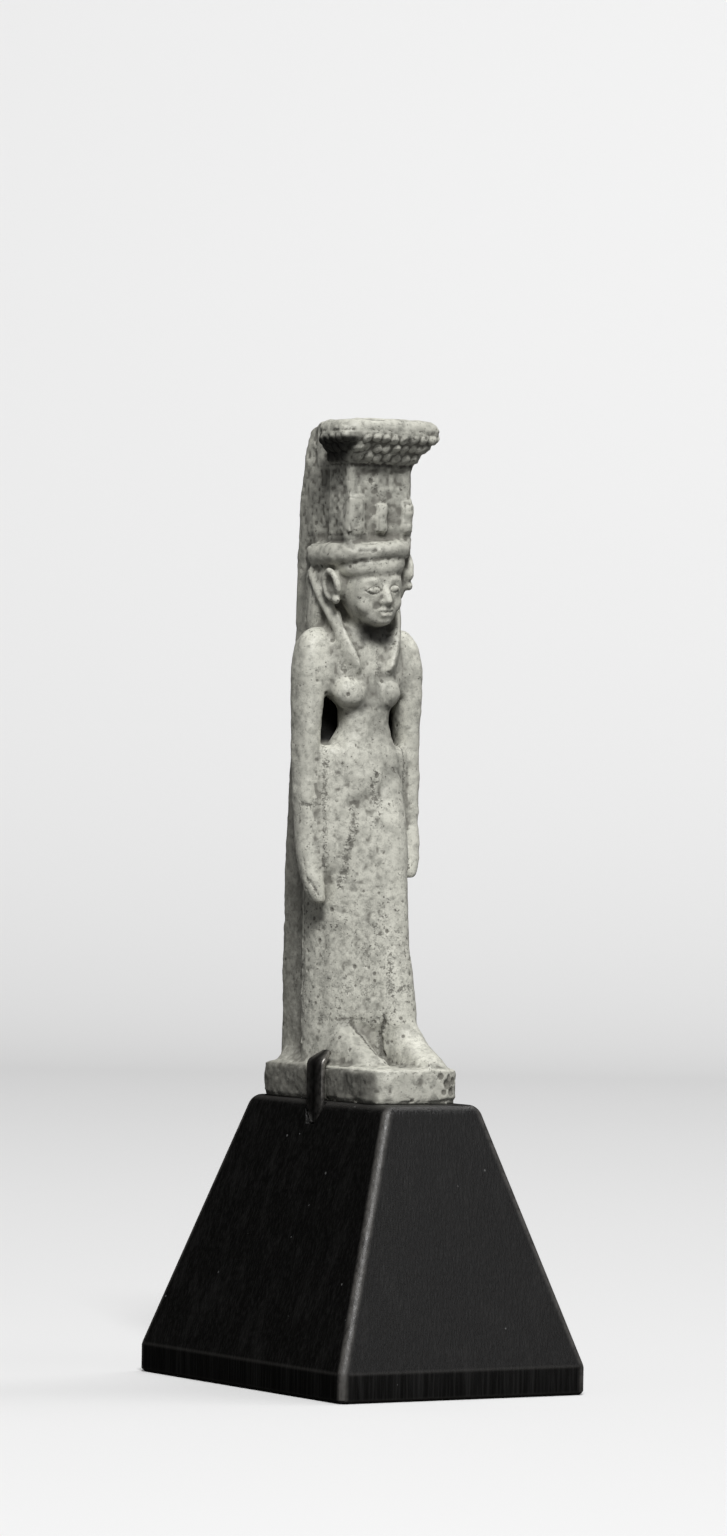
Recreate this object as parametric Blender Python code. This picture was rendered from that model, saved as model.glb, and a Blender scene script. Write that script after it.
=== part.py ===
"""A small faience figure amulet on its base slab, held on a dark wooden stand by two metal clips.

Metres, +Z up. The figure faces -Y, its left side is +X, and the origin is the centre of the
stand's underside. The figure is laid out on a carver's grid of GRID_STEPS steps to its height,
measured from the top of its own slab, so its pose and carving are shares of that height.
"""
import math

import bmesh
import bpy
from mathutils import Matrix, Vector

MM = 0.001

# Stand: a tall truncated pyramid of dark wood over a low upright band
STAND_BOTTOM_WIDTH = 21.6 * MM
STAND_BOTTOM_DEPTH = 30.2 * MM
STAND_SIDE_MARGIN = 0.25 * MM
STAND_END_MARGIN = 1.45 * MM
STAND_HEIGHT = 21.7 * MM
STAND_BAND_HEIGHT = 2.2 * MM
STAND_FOOT_CHAMFER = 0.3 * MM
STAND_CORNER_CHAMFER = 0.55 * MM
STAND_TOP_ROUNDING = 0.7 * MM

# Figure above the slab, and the pillar that backs it up to the top of the headdress
FIGURE_HEIGHT = 49.3 * MM
GRID_STEPS = 650
SKIRT_HALF_WIDTH = 3.185 * MM
TOE_REACH = 7.89 * MM
PILLAR_REACH = 8.95 * MM
PILLAR_WIDTH = 4.7 * MM
FOOT_SET_IN = 0.22 * MM
HEAD_ROLL = math.radians(5.5)
HEAD_PIVOT = (0, 20, 486)

# Slab under the figure's feet, one piece with it: a ledge all round the feet and the pillar
SLAB_THICKNESS = 2.35 * MM
SLAB_SIDE_LEDGE = 0.7 * MM
SLAB_FRONT_LEDGE = 0.35 * MM
SLAB_BACK_LEDGE = 0.05 * MM
SLAB_CORNER_RADIUS = 0.5 * MM
SLAB_FRONT_CORNER_RADIUS = 1.7 * MM
SLAB_EDGE_ROUNDING = 0.2 * MM

# Clips: a strip let into each long side of the stand, bent in over the slab's top edge
CLIP_WIDTH = 2.2 * MM
CLIP_THICKNESS = 0.36 * MM
CLIP_SET_BACK = 0.1 * MM
CLIP_LEG_IN_STAND = 1.7 * MM
CLIP_POINT_LENGTH = 1.1 * MM
CLIP_FINGER_LEAN = math.radians(52.0)
CLIP_BEND_RADIUS = 0.3 * MM
CLIP_TIP_SHARE = 0.42

# Clearances between pieces that touch in the real object
REST_GAP = 0.3 * MM
CLIP_GAP = 0.2 * MM
FINGER_GAP = 0.3 * MM
SLOT_CLEARANCE = 0.15 * MM

# Mesh fineness
FIGURE_VOXEL = 0.24 * MM
FIGURE_KEPT_FACES = 0.098
SECTION_POINTS = 40

# Sizes that follow from the ones above
GRID = FIGURE_HEIGHT / GRID_STEPS
SLAB_WIDTH = 2 * (SKIRT_HALF_WIDTH + SLAB_SIDE_LEDGE)
SLAB_FRONT = -(TOE_REACH + SLAB_FRONT_LEDGE)
SLAB_BACK = PILLAR_REACH + SLAB_BACK_LEDGE
STAND_TOP_WIDTH = SLAB_WIDTH + 2 * STAND_SIDE_MARGIN
STAND_TOP_DEPTH = SLAB_BACK - SLAB_FRONT + 2 * STAND_END_MARGIN


def clear_scene():
    for old in list(bpy.data.objects):
        bpy.data.objects.remove(old, do_unlink=True)


def finish_material(name, colour, roughness, metallic):
    """One Principled finish, named after the piece that wears it."""
    material = bpy.data.materials.new(name)
    material.use_nodes = True
    shader = material.node_tree.nodes["Principled BSDF"]
    shader.inputs["Base Color"].default_value = (*colour, 1.0)
    shader.inputs["Roughness"].default_value = roughness
    shader.inputs["Metallic"].default_value = metallic
    return material


def faience_material():
    return finish_material("weathered_faience", (0.56, 0.56, 0.49), 0.62, 0.0)


def stand_material():
    return finish_material("ebonised_wood", (0.016, 0.015, 0.014), 0.38, 0.0)


def clip_material():
    return finish_material("dark_metal", (0.035, 0.034, 0.032), 0.42, 1.0)


def add_object(name, mesh_maker, material, smooth_angle=None):
    """Turn a bmesh into one named object with its finish."""
    mesh = bpy.data.meshes.new(name)
    bmesh.ops.recalc_face_normals(mesh_maker, faces=mesh_maker.faces)
    mesh_maker.to_mesh(mesh)
    mesh_maker.free()
    if material:
        mesh.materials.append(material)
    if smooth_angle is not None:
        mesh.shade_smooth()
        mesh.set_sharp_from_angle(angle=smooth_angle)
    made = bpy.data.objects.new(name, mesh)
    bpy.context.scene.collection.objects.link(made)
    return made


def hide_cutter(cutter):
    cutter.hide_render = True
    cutter.display_type = "WIRE"


def cut(target, cutter):
    modifier = target.modifiers.new("cut " + cutter.name, "BOOLEAN")
    modifier.operation = "DIFFERENCE"
    modifier.solver = "EXACT"
    modifier.object = cutter


def join_rings(shape, rings):
    """Skin closed rings of equal count into one closed shell with flat ends."""
    made = [[shape.verts.new(point) for point in ring] for ring in rings]
    count = len(made[0])
    for lower, upper in zip(made, made[1:]):
        for i in range(count):
            j = (i + 1) % count
            shape.faces.new((lower[i], lower[j], upper[j], upper[i]))
    shape.faces.new(list(reversed(made[0])))
    shape.faces.new(made[-1])
    return made


def signed_power(value, power):
    return math.copysign(abs(value) ** power, value)


def oval(half_width, half_depth, squareness):
    """Points of a superellipse: 2 is an ellipse, higher is squarer."""
    points = []
    for i in range(SECTION_POINTS):
        turn = 2.0 * math.pi * i / SECTION_POINTS
        across = half_width * signed_power(math.cos(turn), 2.0 / squareness)
        along = half_depth * signed_power(math.sin(turn), 2.0 / squareness)
        points.append((across, along))
    return points


def eased_rows(rows, steps):
    """Rows of numbers read from a smooth curve through the given rows."""
    out = []
    last = len(rows) - 1
    for k in range(last):
        before = rows[max(k - 1, 0)]
        start = rows[k]
        end = rows[k + 1]
        after = rows[min(k + 2, last)]
        for s in range(steps):
            t = s / steps
            row = []
            for a, b, c, d in zip(before, start, end, after):
                low = min(b, c)
                high = max(b, c)
                bend = 2 * b + (c - a) * t + (2 * a - 5 * b + 4 * c - d) * t * t
                bend += (3 * b - a - 3 * c + d) * t ** 3
                row.append(min(max(bend / 2, low), high))
            out.append(tuple(row))
    out.append(rows[-1])
    return out


def column(shape, rows, squareness=2.4, mirror=1.0):
    """A standing form through rows of (height, x, y, half width, half depth) on the grid."""
    rings = []
    for height, x, y, half_width, half_depth in eased_rows(rows, 4):
        ring = []
        for across, along in oval(half_width, half_depth, squareness):
            ring.append(on_grid(mirror * (x + across), y + along, height))
        rings.append(ring)
    join_rings(shape, rings)


def on_grid(x, y, height):
    """A point of the carver's grid, height counted from the top of the slab."""
    return Vector((x * GRID, y * GRID, SLAB_THICKNESS + height * GRID))


def egg(shape, centre, radii, lean=0.0):
    """An ellipsoid on the grid, tipped about the sideways axis."""
    place = Matrix.Translation(on_grid(*centre)) @ Matrix.Rotation(lean, 4, "X")
    stretch = Matrix.Diagonal((*(r * GRID for r in radii), 1.0))
    bmesh.ops.create_uvsphere(shape, u_segments=24, v_segments=14, radius=1.0, matrix=place @ stretch)


def block(shape, low, high, rounding):
    """A box on the grid between two corners, its edges rounded."""
    centre = [(a + b) / 2 for a, b in zip(low, high)]
    size = [(b - a) * GRID for a, b in zip(low, high)]
    place = Matrix.Translation(on_grid(*centre)) @ Matrix.Diagonal((*size, 1.0))
    made = bmesh.ops.create_cube(shape, size=1.0, matrix=place)
    edges = {edge for vert in made["verts"] for edge in vert.link_edges}
    bmesh.ops.bevel(shape, geom=list(edges), offset=rounding * GRID, segments=2, profile=0.5,
                    affect="EDGES")


def band(shape, rows, side):
    """A flat strip swept along rows of (x, y, height, half width, half thickness)."""
    path = eased_rows(rows, 5)
    rings = []
    for k, (x, y, height, half_width, half_thickness) in enumerate(path):
        ahead = path[min(k + 1, len(path) - 1)]
        behind = path[max(k - 1, 0)]
        way = on_grid(*ahead[:3]) - on_grid(*behind[:3])
        way.x *= side
        way.normalize()
        outward = Vector((side * 0.75, -0.66, 0.0))
        across = way.cross(outward).normalized()
        outward = across.cross(way).normalized()
        middle = on_grid(side * x, y, height)
        ring = []
        for a, b in oval(half_width * GRID, half_thickness * GRID, 2.6):
            ring.append(middle + across * a + outward * b)
        rings.append(ring)
    join_rings(shape, rings)


def foot(shape, x, rows, squareness):
    """A foot from ankle to toe through rows of (y, half width, height), its sole in the slab."""
    rings = []
    for y, half_width, height in eased_rows(rows, 4):
        ring = []
        for across, along in oval(half_width, height, squareness):
            ring.append(on_grid(x + across, y, max(along, -10.0)))
        rings.append(ring)
    join_rings(shape, rings)


def slab_outline():
    """The slab seen from above: a rectangle with rounded corners, the front ones worn."""
    half_width = SLAB_WIDTH / 2
    corners = (
        (half_width, SLAB_BACK, SLAB_CORNER_RADIUS, 0.0),
        (-half_width, SLAB_BACK, SLAB_CORNER_RADIUS, 90.0),
        (-half_width, SLAB_FRONT, SLAB_FRONT_CORNER_RADIUS, 180.0),
        (half_width, SLAB_FRONT, SLAB_FRONT_CORNER_RADIUS, 270.0),
    )
    points = []
    for x, y, radius, start in corners:
        middle_x = x - math.copysign(radius, x)
        middle_y = y - math.copysign(radius, y)
        for step in range(7):
            turn = math.radians(start + 15.0 * step)
            points.append((middle_x + radius * math.cos(turn), middle_y + radius * math.sin(turn)))
    return points


def build_slab(shape):
    """The slab's solid, carried a little below its underside, where it is later cut flat."""
    below = -4 * FIGURE_VOXEL
    rings = [[Vector((x, y, z)) for x, y in slab_outline()] for z in (below, SLAB_THICKNESS)]
    made = join_rings(shape, rings)
    top = set(made[-1])
    edges = [edge for vert in top for edge in vert.link_edges if edge.other_vert(vert) in top]
    bmesh.ops.bevel(shape, geom=list(set(edges)), offset=SLAB_EDGE_ROUNDING, segments=2,
                    profile=0.5, affect="EDGES")


def build_pillar(shape):
    """The back pillar, leaning slightly forward and rounded off behind the headdress."""
    half = PILLAR_WIDTH / 2 / GRID
    front = 38
    backs = ((-8, 0), (133, 0), (218, -2), (308, -8), (438, -15), (532, -18), (575, -21.5),
             (601, -26), (623, -31), (641, -39), (650, -55))
    rows = []
    for height, lean in backs:
        back = PILLAR_REACH / GRID + lean
        rows.append((height, 0, (front + back) / 2, half, (back - front) / 2))
    column(shape, rows, squareness=12.0)
    middle = PILLAR_REACH / GRID - 40
    column(shape, ((-8, 0, middle, half + 14, 39), (3, 0, middle, half + 9, 39),
                   (11, 0, middle, half + 3, 39), (24, 0, middle, half - 2, 36)), squareness=5.0)


def build_legs(shape):
    """The sheath dress: right leg set back, left leg advanced, cloth stretched between them."""
    right = ((-8, -19, 24, 19, 27), (20, -18, 25, 19, 25), (42, -17, 26, 19, 23),
             (47, -17, 26, 20, 24), (119, -17, 26, 20, 24), (180, -19, 24, 21, 24),
             (215, -21, 22, 22, 24), (250, -22, 20, 22, 23), (285, -20, 17, 21, 21),
             (302, -19, 21, 19, 16), (316, -18, 26, 15, 8))
    left = ((-8, 21, -24, 18, 24), (20, 21, -24, 19, 24), (42, 20, -24, 20, 24),
            (47, 20, -23, 21, 25), (119, 18, -12, 21.5, 23), (180, 18, -6, 21.5, 23),
            (215, 18, -4, 21.5, 23), (250, 18, -1, 21.5, 23), (285, 18, 6, 20, 20),
            (302, 17, 15, 18, 15), (316, 16, 24, 14, 8))
    slack = (0.16, 0.16, 0.1, 0.02, 0.02, 0.02, 0.04, 0.08, 0.2, 0.3, 0.4)
    between = 5
    for step in range(between + 2):
        share = step / (between + 1)
        dip = 4 * share * (1 - share)
        rows = []
        for start, end, loose in zip(right, left, slack):
            mixed = [a + (b - a) * share for a, b in zip(start, end)]
            thick = 1.0 - loose * dip
            rows.append((*mixed[:3], mixed[3] * thick, mixed[4] * thick))
        column(shape, rows, squareness=2.2)
    wide = SKIRT_HALF_WIDTH / GRID
    column(shape, ((-8, 0, 45, wide, 34), (60, 0, 44, wide + 1, 36), (165, 0, 43, wide + 1, 36),
                   (190, 0, 42, wide + 1, 34), (210, 0, 42, wide - 6, 28)), squareness=2.2)
    column(shape, ((166, 0, 42, wide - 8, 22), (190, 0, 37, wide + 5, 31),
                   (215, 0, 34, wide + 11, 34), (314, 0, 34, wide + 11, 34),
                   (325, 0, 53, wide + 12, 16), (400, 0, 53, wide + 12, 16),
                   (436, 0, 54, wide, 13)), squareness=4.0)


def build_feet(shape):
    """Both feet bare on the slab, the left a pace in front of the right."""
    foot(shape, -20, ((34, 20, 54), (4, 18.5, 45), (-14, 17, 33), (-32, 15, 21), (-46, 13, 12),
                      (-56, 10, 6)), squareness=2.8)
    foot(shape, 24, ((0, 19, 54), (-40, 19, 48), (-56, 18.5, 33), (-72, 18, 21), (-90, 17, 12),
                     (-TOE_REACH / GRID, 13, 6)), squareness=2.2)


def build_torso(shape):
    """Belly, narrow waist between the arms, chest and breasts."""
    column(shape, ((225, 0, 22, 36, 22), (260, 0, 20, 39, 27), (295, 0, 18, 40, 29),
                   (312, 0, 18, 39, 28), (326, 0, 16, 33, 24), (343, 0, 14, 27, 20),
                   (362, 0, 14, 28, 20), (373, 0, 18, 40, 22), (390, 0, 20, 47, 24),
                   (410, 0, 24, 47, 26), (430, 0, 27, 46, 25), (444, 0, 30, 30, 20)))
    egg(shape, (0, 2, 289), (30, 15, 34))
    egg(shape, (-24, 2, 375), (18, 15, 16.5))
    egg(shape, (20, 2, 375), (15, 14, 16))
    for side in (-1, 1):
        column(shape, ((373, 46, 28, 13, 16), (380, 47, 26, 15, 18), (400, 47, 25, 15, 19),
                       (424, 45, 27, 14, 17)), squareness=3.0, mirror=side)


def build_arm(shape, side, hand_end, swing):
    """An arm hanging at the side down to hand_end, swung forward a little at the hand."""
    reach = 436 - hand_end
    rows = []
    for share, x, y, half_width, half_depth in (
            (1.0, 49, 14, 6, 7), (0.965, 51, 16, 9.5, 11), (0.87, 55, 22, 11, 13),
            (0.77, 57.5, 26, 10.5, 13), (0.61, 59, 28, 11, 15.5), (0.47, 59, 29, 11.5, 17),
            (0.25, 58, 27, 14, 20), (0.12, 56.5, 27, 15.5, 20), (0.04, 53, 29, 15, 18),
            (0.0, 48, 31, 9, 11)):
        forward = swing * max(share - 0.35, 0.0)
        rows.append((436 - share * reach, x, y - forward, half_width, half_depth))
    column(shape, rows, squareness=2.5, mirror=side)
    egg(shape, (48 * side, 28, 415), (22, 19, 26))


def rolled(shape, build):
    """Run a builder, then tip what it added sideways with the head."""
    before = set(shape.verts)
    build(shape)
    added = [vert for vert in shape.verts if vert not in before]
    bmesh.ops.rotate(shape, verts=added, cent=on_grid(*HEAD_PIVOT),
                     matrix=Matrix.Rotation(-HEAD_ROLL, 3, "Y"))


def build_neck(shape):
    column(shape, ((420, 0, 26, 26, 22), (440, 0, 20, 19, 20), (462, 0, 16, 19, 20)))


def build_head(shape):
    """Face and ears: a calm, even face in thirds from hairline to brow, nose and chin."""
    egg(shape, (0, 5, 484), (33, 30, 41))
    egg(shape, (0, -5, 458), (20, 17, 18))
    egg(shape, (0, -11, 447.5), (10.5, 13, 6.5))
    egg(shape, (0, -24, 473), (4.8, 7.5, 11), lean=math.radians(-14.0))
    egg(shape, (0, -21, 456), (7.5, 5.0, 5.0))
    for side in (-1, 1):
        egg(shape, (12.5 * side, -17.4, 479), (8.5, 6.2, 5.5))
        egg(shape, (13 * side, -9.5, 465.5), (13, 9, 14))
    for side, tuck, lift in ((-1, 0, 0), (1, 3, 8)):
        egg(shape, ((43 - tuck) * side, 4, 486 + lift), (6, 12, 17), lean=math.radians(8.0))


def build_cap(shape):
    """The top of the wig with a band round the brow."""
    column(shape, ((486, 0, 40, 45, 33), (498, 0, 37, 46, 37), (507, 0, 31, 46, 45),
                   (511, 0, 26, 47.5, 51), (518, 0, 24, 47.5, 52), (524, 0, 24, 45, 50),
                   (530, 0, 26, 38, 45), (535, 0, 30, 22, 32)), squareness=2.7)
    column(shape, ((493, 0, 22, 34, 43), (497, 0, 20, 37, 45), (503, 0, 20, 38.5, 46),
                   (512, 0, 21, 38, 45)), squareness=2.5)


def build_wig(shape):
    """The wig's mass behind the ears and its lappet over each shoulder."""
    column(shape, ((420, 0, 50, 41, 20), (445, 0, 46, 46, 22), (470, 0, 42, 46.5, 26),
                   (490, 0, 40, 46, 30), (502, 0, 38, 44, 30)), squareness=2.7)
    for side in (-1, 1):
        egg(shape, (31 * side, 21, 446), (9, 15, 28))
        egg(shape, (35 * side, 14, 482), (8, 15, 16))
        band(shape, ((43, 45, 500, 7, 7), (42, 28, 474, 7, 7), (36, 11, 446, 6.5, 6.5),
                     (27, -1, 417, 6.5, 6), (18, -5, 394, 6, 5)), side)


def build_headdress(shape):
    """The enclosure sign carrying a basket, as one block above the wig."""
    block(shape, (-38, -14, 526), (38, 28, 612), 2.0)
    block(shape, (-31, 10, 500), (31, 60, 645), 2.0)
    block(shape, (-7, -18.5, 535), (7, 0, 566), 1.0)
    block(shape, (23, -19.5, 535), (38.5, 4, 571), 5.0)
    block(shape, (-39.5, -17, 535), (-20, 4, 572), 1.5)
    column(shape, ((598, 0, 10, 37, 24), (605, 0, 6, 41, 26), (616, 0, 0, 47, 28),
                   (627, 0, -6, 57, 32), (635, 0, -9, 61, 34), (642, 0, -9, 59.5, 33),
                   (647, 0, -8.5, 56, 31.5), (650, 0, -8, 50, 29)), squareness=4.5)
    block(shape, (-33, 0, 600), (33, 62, 650), 3.0)


def build_amulet():
    """The whole figure, fused into one solid and cut flat underneath."""
    shape = bmesh.new()
    build_slab(shape)
    build_pillar(shape)
    build_legs(shape)
    build_feet(shape)
    build_torso(shape)
    build_arm(shape, -1, hand_end=162, swing=0.0)
    build_arm(shape, 1, hand_end=188, swing=18.0)
    build_neck(shape)
    rolled(shape, build_head)
    rolled(shape, build_cap)
    build_wig(shape)
    build_headdress(shape)
    amulet = add_object("amulet", shape, faience_material())
    amulet.location.z = STAND_HEIGHT + REST_GAP

    fuse = amulet.modifiers.new("fuse", "REMESH")
    fuse.mode = "VOXEL"
    fuse.voxel_size = FIGURE_VOXEL
    fuse.adaptivity = 0.0
    soften = amulet.modifiers.new("soften", "SMOOTH")
    soften.factor = 0.5
    soften.iterations = 2
    lighten = amulet.modifiers.new("lighten", "DECIMATE")
    lighten.ratio = FIGURE_KEPT_FACES

    saw = bmesh.new()
    depth = 10 * FIGURE_VOXEL
    place = Matrix.Translation((0.0, (SLAB_FRONT + SLAB_BACK) / 2, -depth / 2))
    size = Matrix.Diagonal((2 * SLAB_WIDTH, 2 * (SLAB_BACK - SLAB_FRONT), depth, 1.0))
    bmesh.ops.create_cube(saw, size=1.0, matrix=place @ size)
    cutter = add_object("underside_cutter", saw, None)
    cutter.location.z = amulet.location.z
    hide_cutter(cutter)
    cut(amulet, cutter)
    return amulet


def rectangle(width, depth, z):
    x = width / 2
    y = depth / 2
    return [Vector(p) for p in ((x, y, z), (-x, y, z), (-x, -y, z), (x, -y, z))]


def build_stand():
    """The pyramid block, with a slot in each long side for a clip's leg."""
    shape = bmesh.new()
    rings = (
        rectangle(STAND_BOTTOM_WIDTH, STAND_BOTTOM_DEPTH, 0.0),
        rectangle(STAND_BOTTOM_WIDTH, STAND_BOTTOM_DEPTH, STAND_BAND_HEIGHT),
        rectangle(STAND_TOP_WIDTH, STAND_TOP_DEPTH, STAND_HEIGHT),
    )
    made = join_rings(shape, rings)
    corners = []
    for lower, upper in zip(made, made[1:]):
        for a, b in zip(lower, upper):
            corners.append(next(edge for edge in a.link_edges if edge.other_vert(a) == b))
    bmesh.ops.bevel(shape, geom=corners, offset=STAND_CORNER_CHAMFER, segments=2, profile=0.6,
                    affect="EDGES", clamp_overlap=True)
    bevel_level(shape, STAND_HEIGHT, STAND_TOP_ROUNDING, 4)
    bevel_level(shape, 0.0, STAND_FOOT_CHAMFER, 1)
    stand = add_object("stand", shape, stand_material(), math.radians(25.0))
    for side in (-1, 1):
        cut(stand, slot_cutter(side))
    return stand


def bevel_level(shape, height, width, segments):
    """Round the edges that lie all round the block at one height."""
    edges = [edge for edge in shape.edges
             if all(abs(vert.co.z - height) < 0.01 * MM for vert in edge.verts)]
    bmesh.ops.bevel(shape, geom=edges, offset=width, segments=segments, profile=0.5,
                    affect="EDGES", clamp_overlap=True)


def clip_inner_face():
    """Distance from the middle to the inner face of a clip's leg."""
    return SLAB_WIDTH / 2 + CLIP_GAP


def pointed_outline(half_width, point_length, low, high):
    """An upright strip seen from the side, with its foot cut to a blunt point."""
    tip = half_width * CLIP_TIP_SHARE
    return ((-half_width, high), (half_width, high), (half_width, low + point_length),
            (tip, low), (-tip, low), (-half_width, low + point_length))


def slot_cutter(side):
    """The slot that a clip's leg lies in, open to the outside and at the top."""
    half_width = CLIP_WIDTH / 2 + SLOT_CLEARANCE
    low = STAND_HEIGHT - CLIP_LEG_IN_STAND - SLOT_CLEARANCE
    high = STAND_HEIGHT + STAND_TOP_ROUNDING
    near = side * (clip_inner_face() - SLOT_CLEARANCE)
    far = side * STAND_BOTTOM_WIDTH / 2
    shape = bmesh.new()
    rings = []
    for x in (near, far):
        outline = pointed_outline(half_width, CLIP_POINT_LENGTH, low, high)
        rings.append([Vector((x, CLIP_SET_BACK + y, z)) for y, z in outline])
    join_rings(shape, rings)
    cutter = add_object("slot_cutter_left" if side > 0 else "slot_cutter_right", shape, None)
    hide_cutter(cutter)
    return cutter


def clip_path():
    """Middle line of a clip from its point up, over the bend and along the finger."""
    out = CLIP_THICKNESS / 2
    foot_z = STAND_HEIGHT - CLIP_LEG_IN_STAND
    slab_top = STAND_HEIGHT + REST_GAP + SLAB_THICKNESS
    radius = CLIP_BEND_RADIUS + CLIP_THICKNESS / 2
    path = [(out, foot_z, CLIP_TIP_SHARE), (out, foot_z + CLIP_POINT_LENGTH, 1.0),
            (out, slab_top, 1.0)]
    bends = 5
    for step in range(1, bends + 1):
        turn = CLIP_FINGER_LEAN * step / bends
        path.append((out - radius * (1 - math.cos(turn)), slab_top + radius * math.sin(turn), 1.0))
    last_x, last_z, _ = path[-1]
    room = SLAB_SIDE_LEDGE + FOOT_SET_IN + CLIP_GAP - FINGER_GAP
    length = (room + last_x) / math.sin(CLIP_FINGER_LEAN)
    for share in (0.3, 0.65, 1.0):
        reach = length * share
        width = 1.0 - (1.0 - CLIP_TIP_SHARE) * share
        path.append((last_x - reach * math.sin(CLIP_FINGER_LEAN),
                     last_z + reach * math.cos(CLIP_FINGER_LEAN), width))
    return path


def build_clip(name, side):
    """A flat strip with a pointed leg and a tapered finger, as one bent piece."""
    path = clip_path()
    shape = bmesh.new()
    rings = []
    for k, (x, z, share) in enumerate(path):
        ahead = path[min(k + 1, len(path) - 1)]
        behind = path[max(k - 1, 0)]
        way = Vector((ahead[0] - behind[0], ahead[1] - behind[1])).normalized()
        half_width = CLIP_WIDTH / 2 * share
        half_thickness = CLIP_THICKNESS / 2
        ring = []
        for edge, face in ((1, 1), (-1, 1), (-1, -1), (1, -1)):
            across_x = x + face * half_thickness * way.y
            across_z = z - face * half_thickness * way.x
            ring.append(Vector((side * (clip_inner_face() + across_x),
                                CLIP_SET_BACK + edge * half_width, across_z)))
        rings.append(ring)
    join_rings(shape, rings)
    return add_object(name, shape, clip_material(), math.radians(30.0))


def main():
    clear_scene()
    build_stand()
    build_amulet()
    build_clip("clip_right", -1)
    build_clip("clip_left", 1)


main()
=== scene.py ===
"""Looks of a small faience figure amulet held on a dark wooden stand by two metal clips.

The figure is laid out on a carver's grid of 650 steps to its height, measured from the top of its
own slab, and faces -Y. Sizes are in metres, +Z up.
"""
import itertools
import math

import bmesh
import bpy
import numpy as np
from bpy.props import FloatProperty, FloatVectorProperty, IntProperty, PointerProperty
from mathutils import Matrix, Vector
from mathutils.bvhtree import BVHTree
from mathutils.kdtree import KDTree


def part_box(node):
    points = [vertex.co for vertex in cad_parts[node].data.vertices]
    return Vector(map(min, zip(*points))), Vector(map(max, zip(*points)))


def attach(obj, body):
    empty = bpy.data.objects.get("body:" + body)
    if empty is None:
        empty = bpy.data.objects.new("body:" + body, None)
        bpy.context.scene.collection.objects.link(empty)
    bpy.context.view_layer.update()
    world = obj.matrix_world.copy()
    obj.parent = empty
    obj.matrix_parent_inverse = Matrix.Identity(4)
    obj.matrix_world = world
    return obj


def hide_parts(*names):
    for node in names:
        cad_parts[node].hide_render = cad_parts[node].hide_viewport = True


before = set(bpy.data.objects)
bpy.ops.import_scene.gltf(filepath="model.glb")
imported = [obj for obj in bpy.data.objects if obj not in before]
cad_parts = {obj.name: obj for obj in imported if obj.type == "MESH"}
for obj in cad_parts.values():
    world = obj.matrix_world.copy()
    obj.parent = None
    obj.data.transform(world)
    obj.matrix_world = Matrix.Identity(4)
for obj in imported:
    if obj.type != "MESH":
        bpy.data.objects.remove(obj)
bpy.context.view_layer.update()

bl_info = {
    "name": "Faience figure amulet",
    "version": (1, 0, 0),
    "blender": (4, 5, 0),
    "location": "View3D > Sidebar > Amulet",
    "description": "Makes a weathered faience figure, its wooden stand, clips and a plain stage",
    "category": "Object",
}

MM = 0.001
BODY = "root"
FIGURE_LOW, FIGURE_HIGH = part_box("amulet")
STAND_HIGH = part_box("stand")[1]

# Figure
FIGURE_HEIGHT = 49.3 * MM
GRID = FIGURE_HEIGHT / 650
SLAB_THICKNESS = 2.35 * MM
SLAB_TOP = FIGURE_LOW.z + SLAB_THICKNESS
SLAB_FOOT = STAND_HIGH.z + 0.02 * MM
SKIRT_HALF_WIDTH = 3.185 * MM
TOE_REACH = 7.89 * MM
PILLAR_REACH = 8.95 * MM
PILLAR_WIDTH = 4.7 * MM
FOOT_SET_IN = 0.22 * MM
SLAB_SIDE_LEDGE = 0.7 * MM
SLAB_FRONT_LEDGE = 0.35 * MM
SLAB_BACK_LEDGE = 0.05 * MM
SLAB_WIDTH = 2 * (SKIRT_HALF_WIDTH + SLAB_SIDE_LEDGE)
SLAB_FRONT = -(TOE_REACH + SLAB_FRONT_LEDGE)
SLAB_BACK = PILLAR_REACH + SLAB_BACK_LEDGE
SLAB_CORNER_RADIUS = 0.5 * MM
SLAB_FRONT_CORNER_RADIUS = 1.7 * MM
SLAB_EDGE_ROUNDING = 0.3 * MM
HEAD_PIVOT = (0, 20, 486)
HEAD_ROLL = math.radians(5.5)
SECTION_POINTS = 64
EASING_STEPS = 6
EGG_LEVELS = 20
EGG_POINTS = 32
ROPE_STEPS = 5
ROPE_POINTS = 16
ROPE_END_STEPS = 3
ROPE_END_SHARE = 0.35
SOLE_DEPTH = 10.0

# How the fused forms are rounded: hollows fill wholly, ridges wear by a share, and the head less
ROUNDING_ROUNDS = 24
RIDGE_WEAR = 0.2
HEAD_CRISPNESS = 0.62
NECK_HEIGHTS = (436, 450)
HOLLOW_DEPTH = 0.02 * MM
RECESS_DEPTH = 0.12 * MM

# How the surface is carved and worn; each layer has its cell size, seed, share and sinking
LINE_WANDER = 0.7 * GRID
FINE_LINE = 1.55
BEAD_RISE = 2.5 * GRID
BEAD_REACH = 6.6 * GRID
PIT_DEPTH_SHARE = 0.5
WEAR_LAYERS = ((1.9 * MM, 1, 0.8, 0.25), (0.7 * MM, 2, 0.5, 0.0), (0.32 * MM, 3, 0.3, 0.0))
EDGE_WEAR = 0.03 * MM
CHIP_DEPTH = 0.16 * MM

# Stand
STAND_HEIGHT = 21.7 * MM
STAND_BAND_HEIGHT = 2.2 * MM
STAND_FOOT_CHAMFER = 0.3 * MM
STAND_SIDE_MARGIN = 0.25 * MM
STAND_END_MARGIN = 1.45 * MM
STAND_BOTTOM = (21.6 * MM / 2, 30.2 * MM / 2)
STAND_TOP = (SLAB_WIDTH / 2 + STAND_SIDE_MARGIN, (SLAB_BACK - SLAB_FRONT) / 2 + STAND_END_MARGIN)

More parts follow.
